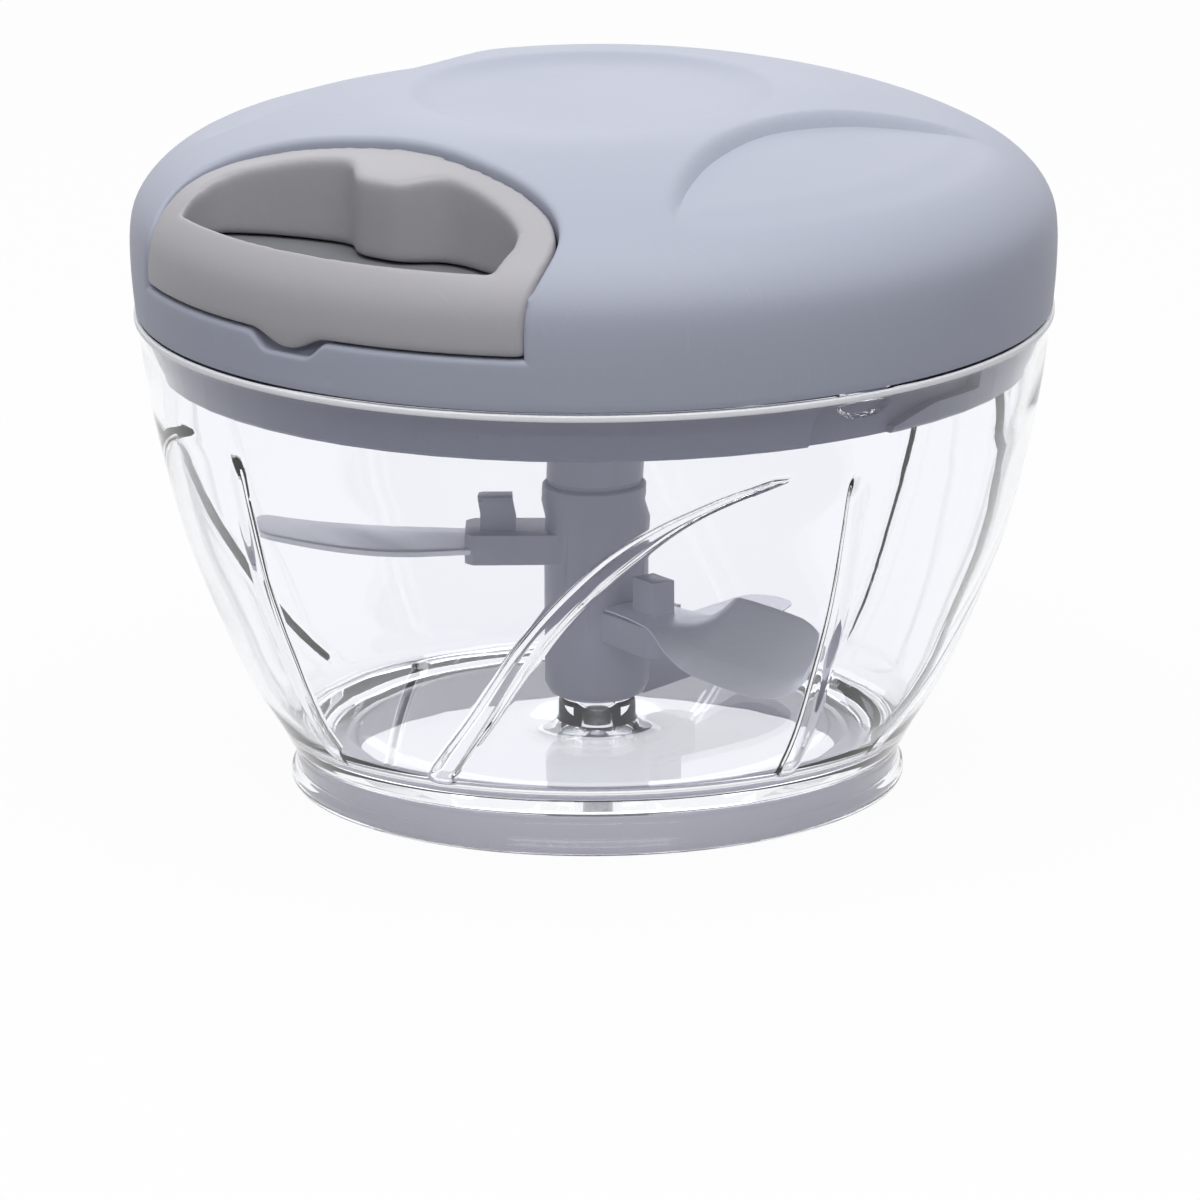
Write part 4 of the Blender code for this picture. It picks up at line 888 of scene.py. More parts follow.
def bowl_grid(rib_height, rib_width, wall, lug_reach):
    """Profile rows by skewed columns, each of which keeps its share of the way between the ribs.

    A rib is a level band that eases to nothing at its sides, foot and top, and a lug is an oval plateau.
    """
    stations = np.array(BOWL_WALL)

    def outer(height):
        return spline(stations[:, 0], stations[:, 1], height)

    inner_heights = np.concatenate((np.linspace(11.2, 61.6, 74), np.linspace(61.9, 65.9, 17)))
    inner = np.stack((outer(inner_heights) - wall, inner_heights), axis=1)
    top = float(outer(RIM_TOP))
    bead = np.radians(np.linspace(84.0, -62.0, 10))
    bead = np.stack((top - 0.42 + 0.72 * np.cos(bead), 65.48 + 0.72 * np.sin(bead)), axis=1)
    lip = ((top - wall + 0.15, 66.12), (top - wall + 0.45, RIM_TOP), (top - 0.75, RIM_TOP))
    outer_heights = np.linspace(64.5, 7.0, 24)
    outside = np.stack((outer(outer_heights), outer_heights), axis=1)
    profile = np.concatenate((BOWL_FLOOR, inner, lip, bead, outside, BOWL_FOOT))
    share = bowl_columns()
    sweep = swept_angle(profile[:, 1])
    share_row = share[None, :]
    before = UPRIGHT_RIB + (sweep[:, None] - UPRIGHT_RIB) * share_row * 2
    after = sweep[:, None] + (UPRIGHT_RIB + QUARTER - sweep[:, None]) * (share_row - 0.5) * 2
    quarter = np.where(share_row < 0.5, before, after)
    angle = np.concatenate([quarter + QUARTER * k for k in range(4)], axis=1)
    radius = np.repeat(profile[:, :1], angle.shape[1], axis=1)
    lift = np.repeat(profile[:, 1:], angle.shape[1], axis=1)

    rows = slice(len(BOWL_FLOOR), len(BOWL_FLOOR) + len(inner))
    z = lift[rows]
    r = radius[rows]
    lean = np.gradient(sweep[rows], inner_heights)
    turn = (angle[rows] - UPRIGHT_RIB) % QUARTER + UPRIGHT_RIB
    upright = np.abs((turn - UPRIGHT_RIB + QUARTER / 2) % QUARTER - QUARTER / 2)
    upright_gap = np.radians(upright) * r
    swept_gap = np.abs(np.radians(turn - sweep[rows][:, None])) * r
    swept_gap = swept_gap / np.hypot(1.0, np.radians(lean)[:, None] * r)
    tail = 1.0 - 0.6 * eased((z - 44.0) / 10.0)

    def band(gap):
        return 1.0 - eased((gap - rib_width * 0.22) / (rib_width * 0.34))

    def ends(high, fade):
        return eased((z - RIB_FOOT) / RIB_FOOT_FADE) * (1.0 - eased((z - high + fade) / fade))

    upright_rib = band(upright_gap) * ends(55.0, 4.5)
    swept_rib = band(swept_gap / tail) * ends(55.2, 0.9)
    bump = rib_height * np.maximum(upright_rib, swept_rib)
    for lug in LUG_ANGLES:
        across = np.radians((angle[rows] - lug + 180.0) % 360.0 - 180.0) * r
        oval = np.hypot(across / LUG_HALF_WIDTH, (z - LUG_HEIGHT) / LUG_HALF_HEIGHT)
        bump = np.maximum(bump, lug_reach * (1.0 - eased((oval - 0.78) / 0.3)))
    radius[rows] = r - bump
    return polar(radius, angle, lift)


# Blades

BLADE_ROOT = 7.8


def blade_grid(angle, height, reach, pitch, tip_pitch, rise, twist, rounding, chords):
    """A section, ground thin at its front edge, that turns about its length and swings back as it goes."""
    tip = 1.0 - (1.0 - rounding) * np.cos(np.linspace(0.0, math.pi / 2, 18))[1:]
    share = np.concatenate((np.linspace(0.0, rounding, 56), tip))
    chord = spline(np.linspace(0.0, 1.0, len(chords)), chords, share)
    past = ((share - rounding) / (1.0 - rounding)).clip(0.0, 1.0)
    chord = chord * (0.42 + 0.58 * np.sqrt(1.0 - past**2))
    bend = np.clip((share - 0.4) / 0.6, 0.0, 1.0)
    turned_by = eased((share - twist[0]) / (twist[1] - twist[0]))
    tilt = np.radians(pitch + (tip_pitch - pitch) * turned_by)
    turn = math.radians(angle)
    out = np.array((math.sin(turn), -math.cos(turn), 0.0))
    across = np.array((-out[1], out[0], 0.0))
    up = np.array((0.0, 0.0, 1.0))
    middle = out * (BLADE_ROOT + share * (reach - BLADE_ROOT))[:, None]
    middle = middle + across * (3.0 * bend * bend)[:, None] + up * (height + rise * bend * bend)[:, None]
    flat = across * np.cos(tilt)[:, None] + up * np.sin(tilt)[:, None]
    normal = up * np.cos(tilt)[:, None] - across * np.sin(tilt)[:, None]
    place = np.array((-0.5, -0.495, -0.4, -0.3, -0.235, -0.2, 0.0, 0.2, 0.4, 0.47, 0.49, 0.5))
    thick = np.array((0.0, 0.1, 0.24, 0.36, 0.43, 0.45, 0.45, 0.45, 0.45, 0.45, 0.4, 0.28))
    places = np.concatenate((place, place[::-1][:-1]))
    thicks = np.concatenate((thick, -thick[::-1][:-1]))
    section = middle[:, None, :] + flat[:, None, :] * (chord[:, None] * places[None, :])[..., None]
    section = section + normal[:, None, :] * thicks[None, :, None]
    first = np.repeat(section[:1].mean(axis=1, keepdims=True), len(places), axis=1)
    last = np.repeat(section[-1:].mean(axis=1, keepdims=True), len(places), axis=1)
    return np.concatenate((first, section, last))


# Angle, height, reach, pitch at the shaft and at the tip, rise of the tip, where the twist starts and
# ends, where the end starts to round, and the widths at even steps
BLADES = {
    "blade_high": (-49.5, 33.3, 46.2, -6.0, 0.0, 3.4, (0.4, 1.0), 0.94, (8.0, 8.6, 10.0, 11.0, 11.2, 10.4)),
    "blade_mid": (75.5, 25.8, 44.6, 0.0, 50.0, -1.0, (0.3, 0.56), 0.84, (8.0, 8.6, 11.4, 12.6, 12.6, 11.6)),
    "blade_low": (180.0, 16.2, 41.2, 0.0, -6.0, -0.4, (0.4, 1.0), 0.9, (8.0, 8.6, 10.6, 11.8, 11.4, 9.6)),
}


# Cord


def cord_object(name, path, radius, sides=20):
    """A tube along a path, with a UV map of the length along it and the way round it, in radii."""
    path = np.asarray(path, float)
    rings = tube(path, radius, sides)
    rows = len(rings)
    points = rings.reshape(-1, 3) * MM
    quads = grid_faces(rows, sides, close_columns=True)
    faces = quads.tolist() + [list(range(sides))[::-1], [(rows - 1) * sides + i for i in range(sides)]]
    mesh = bpy.data.meshes.new(name)
    mesh.from_pydata(points, [], faces)
    along = lengths_along(path) / radius
    u = along[quads // sides]
    column = quads % sides
    v = column / sides
    v[:, 1:3] = np.where(column[:, 1:3] < column[:, :1], 1.0, v[:, 1:3])
    loops = np.concatenate((np.stack((u, v), axis=2).reshape(-1, 2), np.zeros((2 * sides, 2))))
    layer = mesh.uv_layers.new(name="cord")
    layer.data.foreach_set("uv", loops.ravel())
    mesh.shade_smooth()
    mesh.set_sharp_from_angle(angle=math.radians(60))
    return linked(name, mesh)


def winding_path():
    """Turns on the drum, from where the cord leaves for the guide downwards."""
    leave = math.degrees(math.acos(WINDING_RADIUS / LEAVING_RADIUS))
    turn = np.linspace(0.0, WINDING_TURNS, 150)
    return polar(WINDING_RADIUS, leave + 360.0 * turn, WINDING_TOP - WINDING_PITCH * turn)


def feed_path():
    """From the winding straight to the guide, with one soft bend there."""
    start = winding_path()[0]
    corner = np.array((0.0, -LEAVING_RADIUS, CORD_HEIGHT))
    toward = (corner - start) / np.linalg.norm(corner - start)
    reach = 2.4
    first = corner - toward * reach
    last = corner - np.array((0.0, reach, 0.0))
    share = np.linspace(0.0, 1.0, 12)[:, None]
    bend = bezier(first, corner, last, share)
    straight = start + (first - start) * np.linspace(0.0, 0.97, 18)[:, None]
    end = np.array([(0.0, y, CORD_HEIGHT) for y in np.linspace(-31.8, -34.4, 8)])
    return np.concatenate((straight, bend, end))


def knot_path():
    """A three-lobed knot: the sum of one turn of two and two turns of one, small enough for its seat."""
    t = np.linspace(0.0, 2 * math.pi, 90)
    x = np.sin(t) + 2 * np.sin(2 * t)
    z = np.cos(t) - 2 * np.cos(2 * t)
    y = -np.sin(3 * t)
    return np.stack((x * 0.42, -41.5 + y * 0.55, CORD_HEIGHT + z * 0.42), axis=1)


# Materials


def linear(red, green, blue):
    """A colour as a screen shows it, 0 to 255, in the renderer's own scale."""
    share = np.array((red, green, blue)) / 255.0
    curved = ((share + 0.055) / 1.055) ** 2.4
    return tuple(float(v) for v in np.where(share <= 0.04045, share / 12.92, curved))


def fill(tree, target, values):
    """Gives each named input of a node its value, or links it to its socket."""
    for key, value in dict(values).items():
        if isinstance(value, bpy.types.NodeSocket):
            tree.links.new(value, target.inputs[key])
        else:
            target.inputs[key].default_value = value
    return target


def node(tree, kind, values=(), **settings):
    made = tree.nodes.new(kind)
    for key, value in settings.items():
        setattr(made, key, value)
    return fill(tree, made, values)


def mapped(tree, value, limits, results=(0.0, 1.0)):
    """A value that runs from one result to another as it runs between its limits."""
    spread = {"From Min": limits[0], "From Max": limits[1], "To Min": results[0], "To Max": results[1]}
    return node(tree, "ShaderNodeMapRange", {"Value": value, **spread}).outputs["Result"]


def noise(tree, vector, **values):
    values = {key.title(): value for key, value in values.items()}
    return node(tree, "ShaderNodeTexNoise", {"Vector": vector, **values}).outputs["Fac"]


def bumped(tree, height, strength, distance):
    values = {"Height": height, "Strength": strength, "Distance": distance}
    return node(tree, "ShaderNodeBump", values).outputs["Normal"]


def calculated(tree, operation, first, second=0.5):
    return node(tree, "ShaderNodeMath", {0: first, 1: second}, operation=operation).outputs[0]


def blended(tree, share, first, second):
    return node(tree, "ShaderNodeMixShader", {0: share, 1: first, 2: second}).outputs[0]


def shared_group(name, inputs, outputs):
    """A new shader node group with its sockets, and its two end nodes."""
    tree = bpy.data.node_groups.new(name, "ShaderNodeTree")
    for label, kind, value in inputs:
        socket = tree.interface.new_socket(label, in_out="INPUT", socket_type=kind)
        if value is not None:
            socket.default_value = value
    for label, kind in outputs:
        tree.interface.new_socket(label, in_out="OUTPUT", socket_type=kind)
    return tree, tree.nodes.new("NodeGroupInput"), tree.nodes.new("NodeGroupOutput")


FLOAT = "NodeSocketFloat"
VECTOR = "NodeSocketVector"


def moulded_group():
    """Fine spark-eroded grain for the bump, a slow cloud for the tone, and thin hairline marks."""
    if "Moulded Surface" in bpy.data.node_groups:
        return bpy.data.node_groups["Moulded Surface"]
    inputs = (("Vector", VECTOR, None), ("Grain", FLOAT, 2600.0), ("Depth", FLOAT, 0.12))
    outputs = (("Cloud", FLOAT), ("Marks", FLOAT), ("Normal", VECTOR))
    tree, start, end = shared_group("Moulded Surface", inputs, outputs)
    vector = start.outputs["Vector"]
    cloud = noise(tree, vector, scale=26.0, detail=3.0, roughness=0.55)
    grain = noise(tree, vector, scale=start.outputs["Grain"], detail=2.0)
    values = {"Vector": vector, "Rotation": (0.3, 0.2, 0.9), "Scale": (160.0, 2600.0, 420.0)}
    turned = node(tree, "ShaderNodeMapping", values)
    marks = mapped(tree, noise(tree, turned.outputs[0], scale=1.0, detail=1.0), (0.66, 0.76))
    bump = bumped(tree, grain, start.outputs["Depth"], 0.0002)
    fill(tree, end, {"Cloud": cloud, "Marks": marks, "Normal": bump})
    return tree


def ground_group():
    """Fine parallel lines from grinding, with a slow change of strength along them."""
    if "Ground Metal" in bpy.data.node_groups:
        return bpy.data.node_groups["Ground Metal"]
    inputs = (("Vector", VECTOR, None), ("Depth", FLOAT, 0.2))
    outputs = (("Lines", FLOAT), ("Cloud", FLOAT), ("Normal", VECTOR))
    tree, start, end = shared_group("Ground Metal", inputs, outputs)
    vector = start.outputs["Vector"]
    lines = noise(tree, vector, scale=1.0, detail=4.0, roughness=0.7)
    cloud = noise(tree, vector, scale=0.06, detail=2.0)
    bump = bumped(tree, lines, start.outputs["Depth"], 0.0001)
    fill(tree, end, {"Lines": lines, "Cloud": cloud, "Normal": bump})
    return tree


def braid_group():
    """Two sets of strands that wind round the cord in opposite ways and pass over each other by turns."""
    if "Braided Strands" in bpy.data.node_groups:
        return bpy.data.node_groups["Braided Strands"]
    inputs = (("Vector", VECTOR, None), ("Strands", FLOAT, 6.0), ("Depth", FLOAT, 0.6))
    outputs = (("Strand", FLOAT), ("Normal", VECTOR))
    tree, start, end = shared_group("Braided Strands", inputs, outputs)
    split = node(tree, "ShaderNodeSeparateXYZ", {0: start.outputs["Vector"]})
    along = calculated(tree, "MULTIPLY", split.outputs[0], 0.9)
    around = calculated(tree, "MULTIPLY", split.outputs[1], start.outputs["Strands"])
    waves = []
    for operation in ("ADD", "SUBTRACT"):
        turn = calculated(tree, "MULTIPLY", calculated(tree, operation, around, along), 2 * math.pi)
        waves.append(calculated(tree, "SINE", turn))
    strand = mapped(tree, calculated(tree, "MAXIMUM", *waves), (-0.6, 1.0))
    fill(tree, end, {"Strand": strand, "Normal": bumped(tree, strand, start.outputs["Depth"], 0.0002)})
    return tree


def new_material(name):
    """A new material with its node tree, its shader and its texture coordinates."""
    made = bpy.data.materials.new(name)
    made.use_nodes = True
    tree = made.node_tree
    shader = tree.nodes["Principled BSDF"]
    place = tree.nodes.new("ShaderNodeTexCoord")
    return made, tree, shader, place


def mixed(tree, share, first, second):
    """A colour between two, by a share. Each colour is three values or a socket."""
    mix = node(tree, "ShaderNodeMix", {0: share}, data_type="RGBA")
    for index, colour in ((6, first), (7, second)):
        known = isinstance(colour, bpy.types.NodeSocket)
        fill(tree, mix, {index: colour if known else (*colour[:3], 1.0)})
    return mix.outputs[2]


# Colour, roughness, grain, depth of the grain, spread of the tone, and gloss
PLASTICS = {
    "Satin Lid Plastic": ("lid", (0.44, 0.54), 2600.0, 0.1, 0.02, 0.2),
    "Satin Handle Plastic": ("handle", (0.38, 0.48), 2600.0, 0.1, 0.02, 0.3),
    # The pocket's dark finish paints the shade inside the handle's pocket
    "Dark Pocket Plastic": ("liner", (0.4, 0.5), 2600.0, 0.15, 0.03, 0.42),
    "Satin Plate Plastic": ("plate", (0.34, 0.46), 2600.0, 0.1, 0.03, 0.42),
    "Dark Shaft Plastic": ("shaft", (0.36, 0.46), 2600.0, 0.05, 0.03, 0.42),
    # The rim finish is a near-white opaque colour that paints the highlight along the bowl's clear rim
    "Frosted Rim Plastic": ("rim", (0.3, 0.4), 2600.0, 0.05, 0.01, 0.42),
    "White Nylon": ("nylon", (0.42, 0.55), 2600.0, 0.1, 0.02, 0.42),
    "Soft Grey Rubber": ("ring", (0.62, 0.78), 1500.0, 0.25, 0.03, 0.42),
    "Seal Rubber": ("ring", (0.6, 0.75), 1800.0, 0.2, 0.03, 0.42),
}


def plastic(name):
    """Satin moulded plastic: tone from cloud and marks, roughness from the cloud, bump from the grain."""
    if name in bpy.data.materials:
        return bpy.data.materials[name]
    chosen, rough, grain, depth, spread, gloss = PLASTICS[name]
    colour = getattr(colours(), chosen)
    made, tree, shader, place = new_material(name)
    values = {"Vector": place.outputs["Object"], "Grain": grain, "Depth": depth}
    group = node(tree, "ShaderNodeGroup", values, node_tree=moulded_group())
    dark = tuple(value * (1.0 - spread) for value in colour)
    light = tuple(min(1.0, value * (1.0 + spread)) for value in colour)
    base = mixed(tree, group.outputs["Cloud"], dark, light)
    worn = calculated(tree, "MULTIPLY", group.outputs["Marks"], 0.1)
    pale = tuple(min(1.0, value * 1.25 + 0.04) for value in colour)
    looks = {
        "Base Color": mixed(tree, worn, base, pale),
        "Roughness": mapped(tree, group.outputs["Cloud"], (0.3, 0.7), rough),
        "Normal": group.outputs["Normal"],
        "Specular IOR Level": gloss,
    }
    fill(tree, shader, looks)
    return made


def metal(name, colour, rough, stretch=(300.0, 5200.0, 900.0), turn=0.0, metallic=1.0):
    """Ground or drawn steel: lines run along one direction of the object."""
    if name in bpy.data.materials:
        return bpy.data.materials[name]
    made, tree, shader, place = new_material(name)
    values = {"Vector": place.outputs["Object"], "Rotation": (0.0, 0.0, turn), "Scale": stretch}
    mapping = node(tree, "ShaderNodeMapping", values)
    values = {"Vector": mapping.outputs[0], "Depth": 0.18}
    group = node(tree, "ShaderNodeGroup", values, node_tree=ground_group())
    dark = tuple(value * 0.86 for value in colour)
    looks = {
        "Base Color": mixed(tree, group.outputs["Lines"], dark, colour),
        "Roughness": mapped(tree, group.outputs["Cloud"], (0.3, 0.7), rough),
        "Normal": group.outputs["Normal"],
        "Metallic": metallic,
    }
    fill(tree, shader, looks)
    return made


def clear_plastic(name, tint, shade):
    """Clear moulded plastic with a slight cool tint, which shadow rays pass nearly straight through."""
    if name in bpy.data.materials:
        return bpy.data.materials[name]
    made, tree, shader, place = new_material(name)
    values = {"Vector": place.outputs["Object"], "Grain": 90.0, "Depth": 0.03}
    group = node(tree, "ShaderNodeGroup", values, node_tree=moulded_group())
    looks = {
        "Base Color": mixed(tree, group.outputs["Cloud"], tint, shade),
        "Roughness": mapped(tree, group.outputs["Marks"], (0.0, 1.0), (0.012, 0.06)),
        "Normal": group.outputs["Normal"],
        "Transmission Weight": 1.0,
        "IOR": 1.4,
    }
    fill(tree, shader, looks)
    path = tree.nodes.new("ShaderNodeLightPath")
    passing = calculated(tree, "MAXIMUM", path.outputs["Is Shadow Ray"], path.outputs["Is Diffuse Ray"])
    through_it = node(tree, "ShaderNodeBsdfTransparent", {"Color": (0.988, 0.991, 0.998, 1.0)})
    shown = blended(tree, passing, shader.outputs[0], through_it.outputs[0])
    tree.links.new(shown, tree.nodes["Material Output"].inputs["Surface"])
    return made


def cord_material(name, colour):
    """Braided thread: painted shade in the gaps between the strands, bump from the strands, a soft sheen over
    it.
    """
    if name in bpy.data.materials:
        return bpy.data.materials[name]
    made, tree, shader, place = new_material(name)
    group = node(tree, "ShaderNodeGroup", {"Vector": place.outputs["UV"]}, node_tree=braid_group())
    # Darker where no strand lies on top: painted shade in the gaps between the strands
    dark = tuple(value * 0.55 for value in colour)
    looks = {
        "Base Color": mixed(tree, group.outputs["Strand"], dark, colour),
        "Roughness": 0.7,
        "Normal": group.outputs["Normal"],
        "Sheen Weight": 0.25,
    }
    fill(tree, shader, looks)
    return made


def seen_share(tree):
    """1 for rays that come from the camera, a mirror or a clear piece, and 0 for light on a dull surface."""
    path = tree.nodes.new("ShaderNodeLightPath")
    share = calculated(tree, "MAXIMUM", path.outputs["Is Camera Ray"], path.outputs["Is Glossy Ray"])
    return calculated(tree, "MAXIMUM", share, path.outputs["Is Transmission Ray"])


def floor_material(colour, glow):
    """A matt pale floor with a faint cloud, which also gives some white to rays that see it."""
    made, tree, shader, place = new_material("Studio Floor")
    cloud = noise(tree, place.outputs["Object"], scale=3.0, detail=2.0)
    dark = tuple(value * 0.985 for value in colour)
    looks = {"Base Color": mixed(tree, cloud, dark, colour), "Roughness": 0.9, "Specular IOR Level": 0.0}
    fill(tree, shader, looks)
    light = node(tree, "ShaderNodeEmission", {"Color": (1.0, 1.0, 1.0, 1.0), "Strength": FLOOR_LIGHT})
    share = calculated(tree, "MULTIPLY", seen_share(tree), glow)
    shown = blended(tree, share, shader.outputs[0], light.outputs[0])
    tree.links.new(shown, tree.nodes["Material Output"].inputs["Surface"])
    return made


# Settings that a user would change


def size_property(label, description, default, low, high):
    """A length in the panel, given here in millimetres."""
    looks = {"name": label, "description": description, "subtype": "DISTANCE", "unit": "LENGTH"}
    return bpy.props.FloatProperty(default=default * MM, min=low * MM, max=high * MM, precision=5, **looks)


def colour_property(label, description, *screen):
    looks = {"name": label, "description": description, "subtype": "COLOR", "size": 3}
    return bpy.props.FloatVectorProperty(default=linear(*screen), min=0.0, max=1.0, **looks)


class ChopperSizes(bpy.types.PropertyGroup):
    pocket_play: size_property("Pocket play", "Gap between the handle and its pocket", 0.35, 0.0, 2.0)
    pocket_edge: size_property("Pocket edge", "Rounding where the lid turns into the pocket", 0.9, 0.1, 2.0)
    lobe_depth: size_property("Lobe depth", "How far the finger lobes sink the dome", 1.5, 0.0, 3.0)
    rib_height: size_property("Rib height", "How far the ribs stand in from the bowl's wall", 1.1, 0.0, 3.0)
    rib_width: size_property("Rib width", "Width of a rib inside the bowl", 3.0, 1.0, 6.0)
    bowl_wall: size_property("Bowl wall", "Thickness of the bowl's wall", 2.1, 1.0, 4.0)
    lug_reach: size_property("Lug reach", "How far the lock's lugs stand in from the wall", 1.9, 0.5, 3.0)
    cord_radius: size_property("Cord radius", "Half the thickness of the cord", 0.8, 0.3, 1.0)
    handle_cell: size_property("Handle cell", "Size of the handle's mesh cells", 0.34, 0.2, 1.0)


class ChopperColours(bpy.types.PropertyGroup):
    lid: colour_property("Lid", "Blue-grey of the lid", 172, 176, 191)
    handle: colour_property("Handle", "Warm light grey of the handle", 172, 170, 174)
    # The pocket colour is darker than the lid and handle: painted shade for the sheet that lines the pocket
    liner: colour_property("Pocket liner", "Dark grey inside the pocket", 118, 119, 123)
    plate: colour_property("Plate", "Grey of the plate and its skirt", 138, 141, 161)
    shaft: colour_property("Shaft", "Dark grey of the blade shaft", 196, 198, 214)
    blade: colour_property("Blade steel", "Steel of the blades", 240, 241, 250)
    steel: colour_property("Bright steel", "Steel of the pins and screws", 205, 205, 208)
    ring: colour_property("Base ring", "Soft grey ring under the foot", 229, 226, 236)
    nylon: colour_property("Nylon", "Reel, coupler and pawls", 232, 231, 226)
    cord: colour_property("Cord", "Braided cord", 228, 228, 226)
    # The rim edge colour is near-white for a painted highlight on the clear rim, not a colour of the rim
    # itself
    rim: colour_property("Rim edge", "Polished edge of the bowl's rim, which gathers light", 250, 251, 255)
    clear: colour_property("Clear plastic", "Clear plastic at its palest", 253, 254, 255)
    clear_shade: colour_property("Clear plastic, deeper", "Clear plastic at its deepest", 248, 249, 254)
    floor: colour_property("Floor", "Studio floor", 172, 172, 174)


def sizes():
    return bpy.context.scene.chopper_sizes


def colours():
    return bpy.context.scene.chopper_colours


class CHOPPER_OT_bowl(bpy.types.Operator):
    """The clear bowl with its ribs and lock lugs, and a near-white ring of painted highlight at its rim"""

    bl_idname = "chopper.bowl"
    bl_label = "Bowl"

    def execute(self, context):
        chosen = sizes()
        shape = Shape()
        lengths = (chosen.rib_height, chosen.rib_width, chosen.bowl_wall, chosen.lug_reach)
        shape.grid(bowl_grid(*(length / MM for length in lengths)), close_columns=True)
        bowl = shape.make("clear_bowl", sharp=50.0)
        clear = clear_plastic("Clear Moulded Plastic", colours().clear, colours().clear_shade)
        dress(bowl, "bowl", clear, "clear_plastic", "bowl")
        # An opaque near-white ring at the rim's outer corner: a painted highlight over the clear plastic
        corners = ((61.5, 65.95), (62.06, 65.95), (62.02, 65.1), (61.4, 65.1))
        rim = ring_piece("rim_edge", corners, 0.22, 4, 360)
        dress(rim, "bowl", plastic("Frosted Rim Plastic"), "clear_plastic")
        return {"FINISHED"}


class CHOPPER_OT_base_ring(bpy.types.Operator):
    """The soft ring under the bowl's foot"""

    bl_idname = "chopper.base_ring"
    bl_label = "Base Ring"

    def execute(self, context):
        inner, outer, top = 34.3, 39.2, 6.0
        ring = ring_piece("soft_ring", ((inner, top), (outer, top), (outer, 0.0), (inner, 0.0)), 0.7, 6)
        dress(ring, "bowl", plastic("Soft Grey Rubber"), "grey_rubber", "base_ring")
        return {"FINISHED"}


class CHOPPER_OT_lid(bpy.types.Operator):
    """The domed lid with its finger lobes, its dish and the handle's pocket"""

    bl_idname = "chopper.lid"
    bl_label = "Lid"

    def execute(self, context):
        chosen = sizes()
        skin = LidSkin(chosen.lobe_depth / MM)
        pocket = Pocket(skin, chosen.pocket_play / MM, chosen.pocket_edge / MM)
        shape = Shape()
        lid_outer(shape, skin, pocket)
        dish = skin.profile[skin.profile[:, 0] < DISH_RADIUS - 0.1]
        dish = np.concatenate((dish[::3], [(DISH_RADIUS, skin.dome_height(DISH_RADIUS))]))
        shape.grid(turned_grid(dish, 360), close_columns=True)
        points, faces = pocket_floor(chosen.pocket_play / MM, POCKET_FLOOR)
        shape.add(points, faces)
        lid_inside(shape, chosen.pocket_play / MM)
        lid = shape.make("lid_shell", sharp=30.0, merge=0.004)
        dress(lid, "lid", plastic("Satin Lid Plastic"), "lid_plastic", "lid_cover")
        return {"FINISHED"}


class CHOPPER_OT_shade_sheet(bpy.types.Operator):
    """A dark sheet of painted shade over the floor and wall inside the handle's pocket"""

    bl_idname = "chopper.liner"
    bl_label = "Pocket Liner"

    def execute(self, context):
        skin = LidSkin(0.0)
        play = sizes().pocket_play / MM
        shape = Shape()
        shade_inset = 0.12
        points, faces = pocket_floor(play - shade_inset, POCKET_FLOOR + shade_inset)
        shape.add(points, faces)
        edge = pocket_wall(play - shade_inset)
        top = skin.dome_over(edge[:, 0], edge[:, 1]) - 2.4
        low = POCKET_FLOOR + shade_inset
        heights = [low + (top - low) * share for share in np.linspace(0, 1, 6)]
        shape.grid(np.stack([np.column_stack((edge, height)) for height in heights]))
        # The sheet lies just inside the pocket's floor and walls and paints their shade dark grey
        liner = shape.make("pocket_liner", sharp=40.0, outward=False)
        dress(liner, "lid", plastic("Dark Pocket Plastic"), "lid_plastic")
        return {"FINISHED"}


class CHOPPER_OT_handle(bpy.types.Operator):
    """The pull handle with its finger opening, tongue and cord hole"""

    bl_idname = "chopper.handle"
    bl_label = "Handle"

    def execute(self, context):
        handle = handle_solid(LidSkin(0.0))
        bored(handle, 1.2, 30.0, 42.0)
        half, near, far = 2.5, 40.1, 42.9
        plan = ((-half, -far), (half, -far), (half, -near), (-half, -near))
        chamber = plan_prism("knot_chamber", plan, 70.0, 88.7)
        combined(handle, "DIFFERENCE", chamber)
        softened(handle, sizes().handle_cell / MM, rounds=40)
        dress(handle, "handle", plastic("Satin Handle Plastic"), "handle_plastic", "handle")
        return {"FINISHED"}


class CHOPPER_OT_shaft(bpy.types.Operator):
    """The blade shaft with its arms and pegs"""

    bl_idname = "chopper.shaft"
    bl_label = "Blade Shaft"

    def execute(self, context):
        shaft = node_copy("blade_shaft", "shaft_body")
        angle = BLADES["blade_high"][0]
        hub = polar(7.1, np.arange(0.0, 360.0, 9.0))[:, :2]
        steps = (
            ("DIFFERENCE", "arm_cutter", arm_outline(4.0, 20.0, 12.0, angle), 28.0, 31.2),
            ("UNION", "hub_patch", hub, 27.9, 31.4),
            ("UNION", "arm_holder", arm_outline(4.0, 17.8, 9.6, angle), 31.15, 35.2),
            ("UNION", "arm_peg", arm_outline(11.1, 15.7, 3.3, angle), 35.0, 39.7),
        )
        for operation, *form in steps:
            combined(shaft, operation, plan_prism(*form))
        rounded_edges(shaft, 0.28)
        dress(shaft, "blades", plastic("Dark Shaft Plastic"), "shaft_plastic", "blade_shaft")
        return {"FINISHED"}


class CHOPPER_OT_blades(bpy.types.Operator):
    """The three ground blades on the shaft"""

    bl_idname = "chopper.blades"
    bl_label = "Blades"

    def execute(self, context):
        for name, (angle, *form) in BLADES.items():
            shape = Shape()
            shape.grid(blade_grid(angle, *form), close_columns=True)
            blade = shape.make(f"ground_{name}", sharp=25.0)
            finish = {"rough": (0.36, 0.5), "turn": math.radians(-angle), "metallic": 0.35}
            steel = metal(f"Ground Steel {angle:+.0f}", colours().blade, **finish)
            dress(blade, "blades", steel, "blade_steel", name)
        return {"FINISHED"}


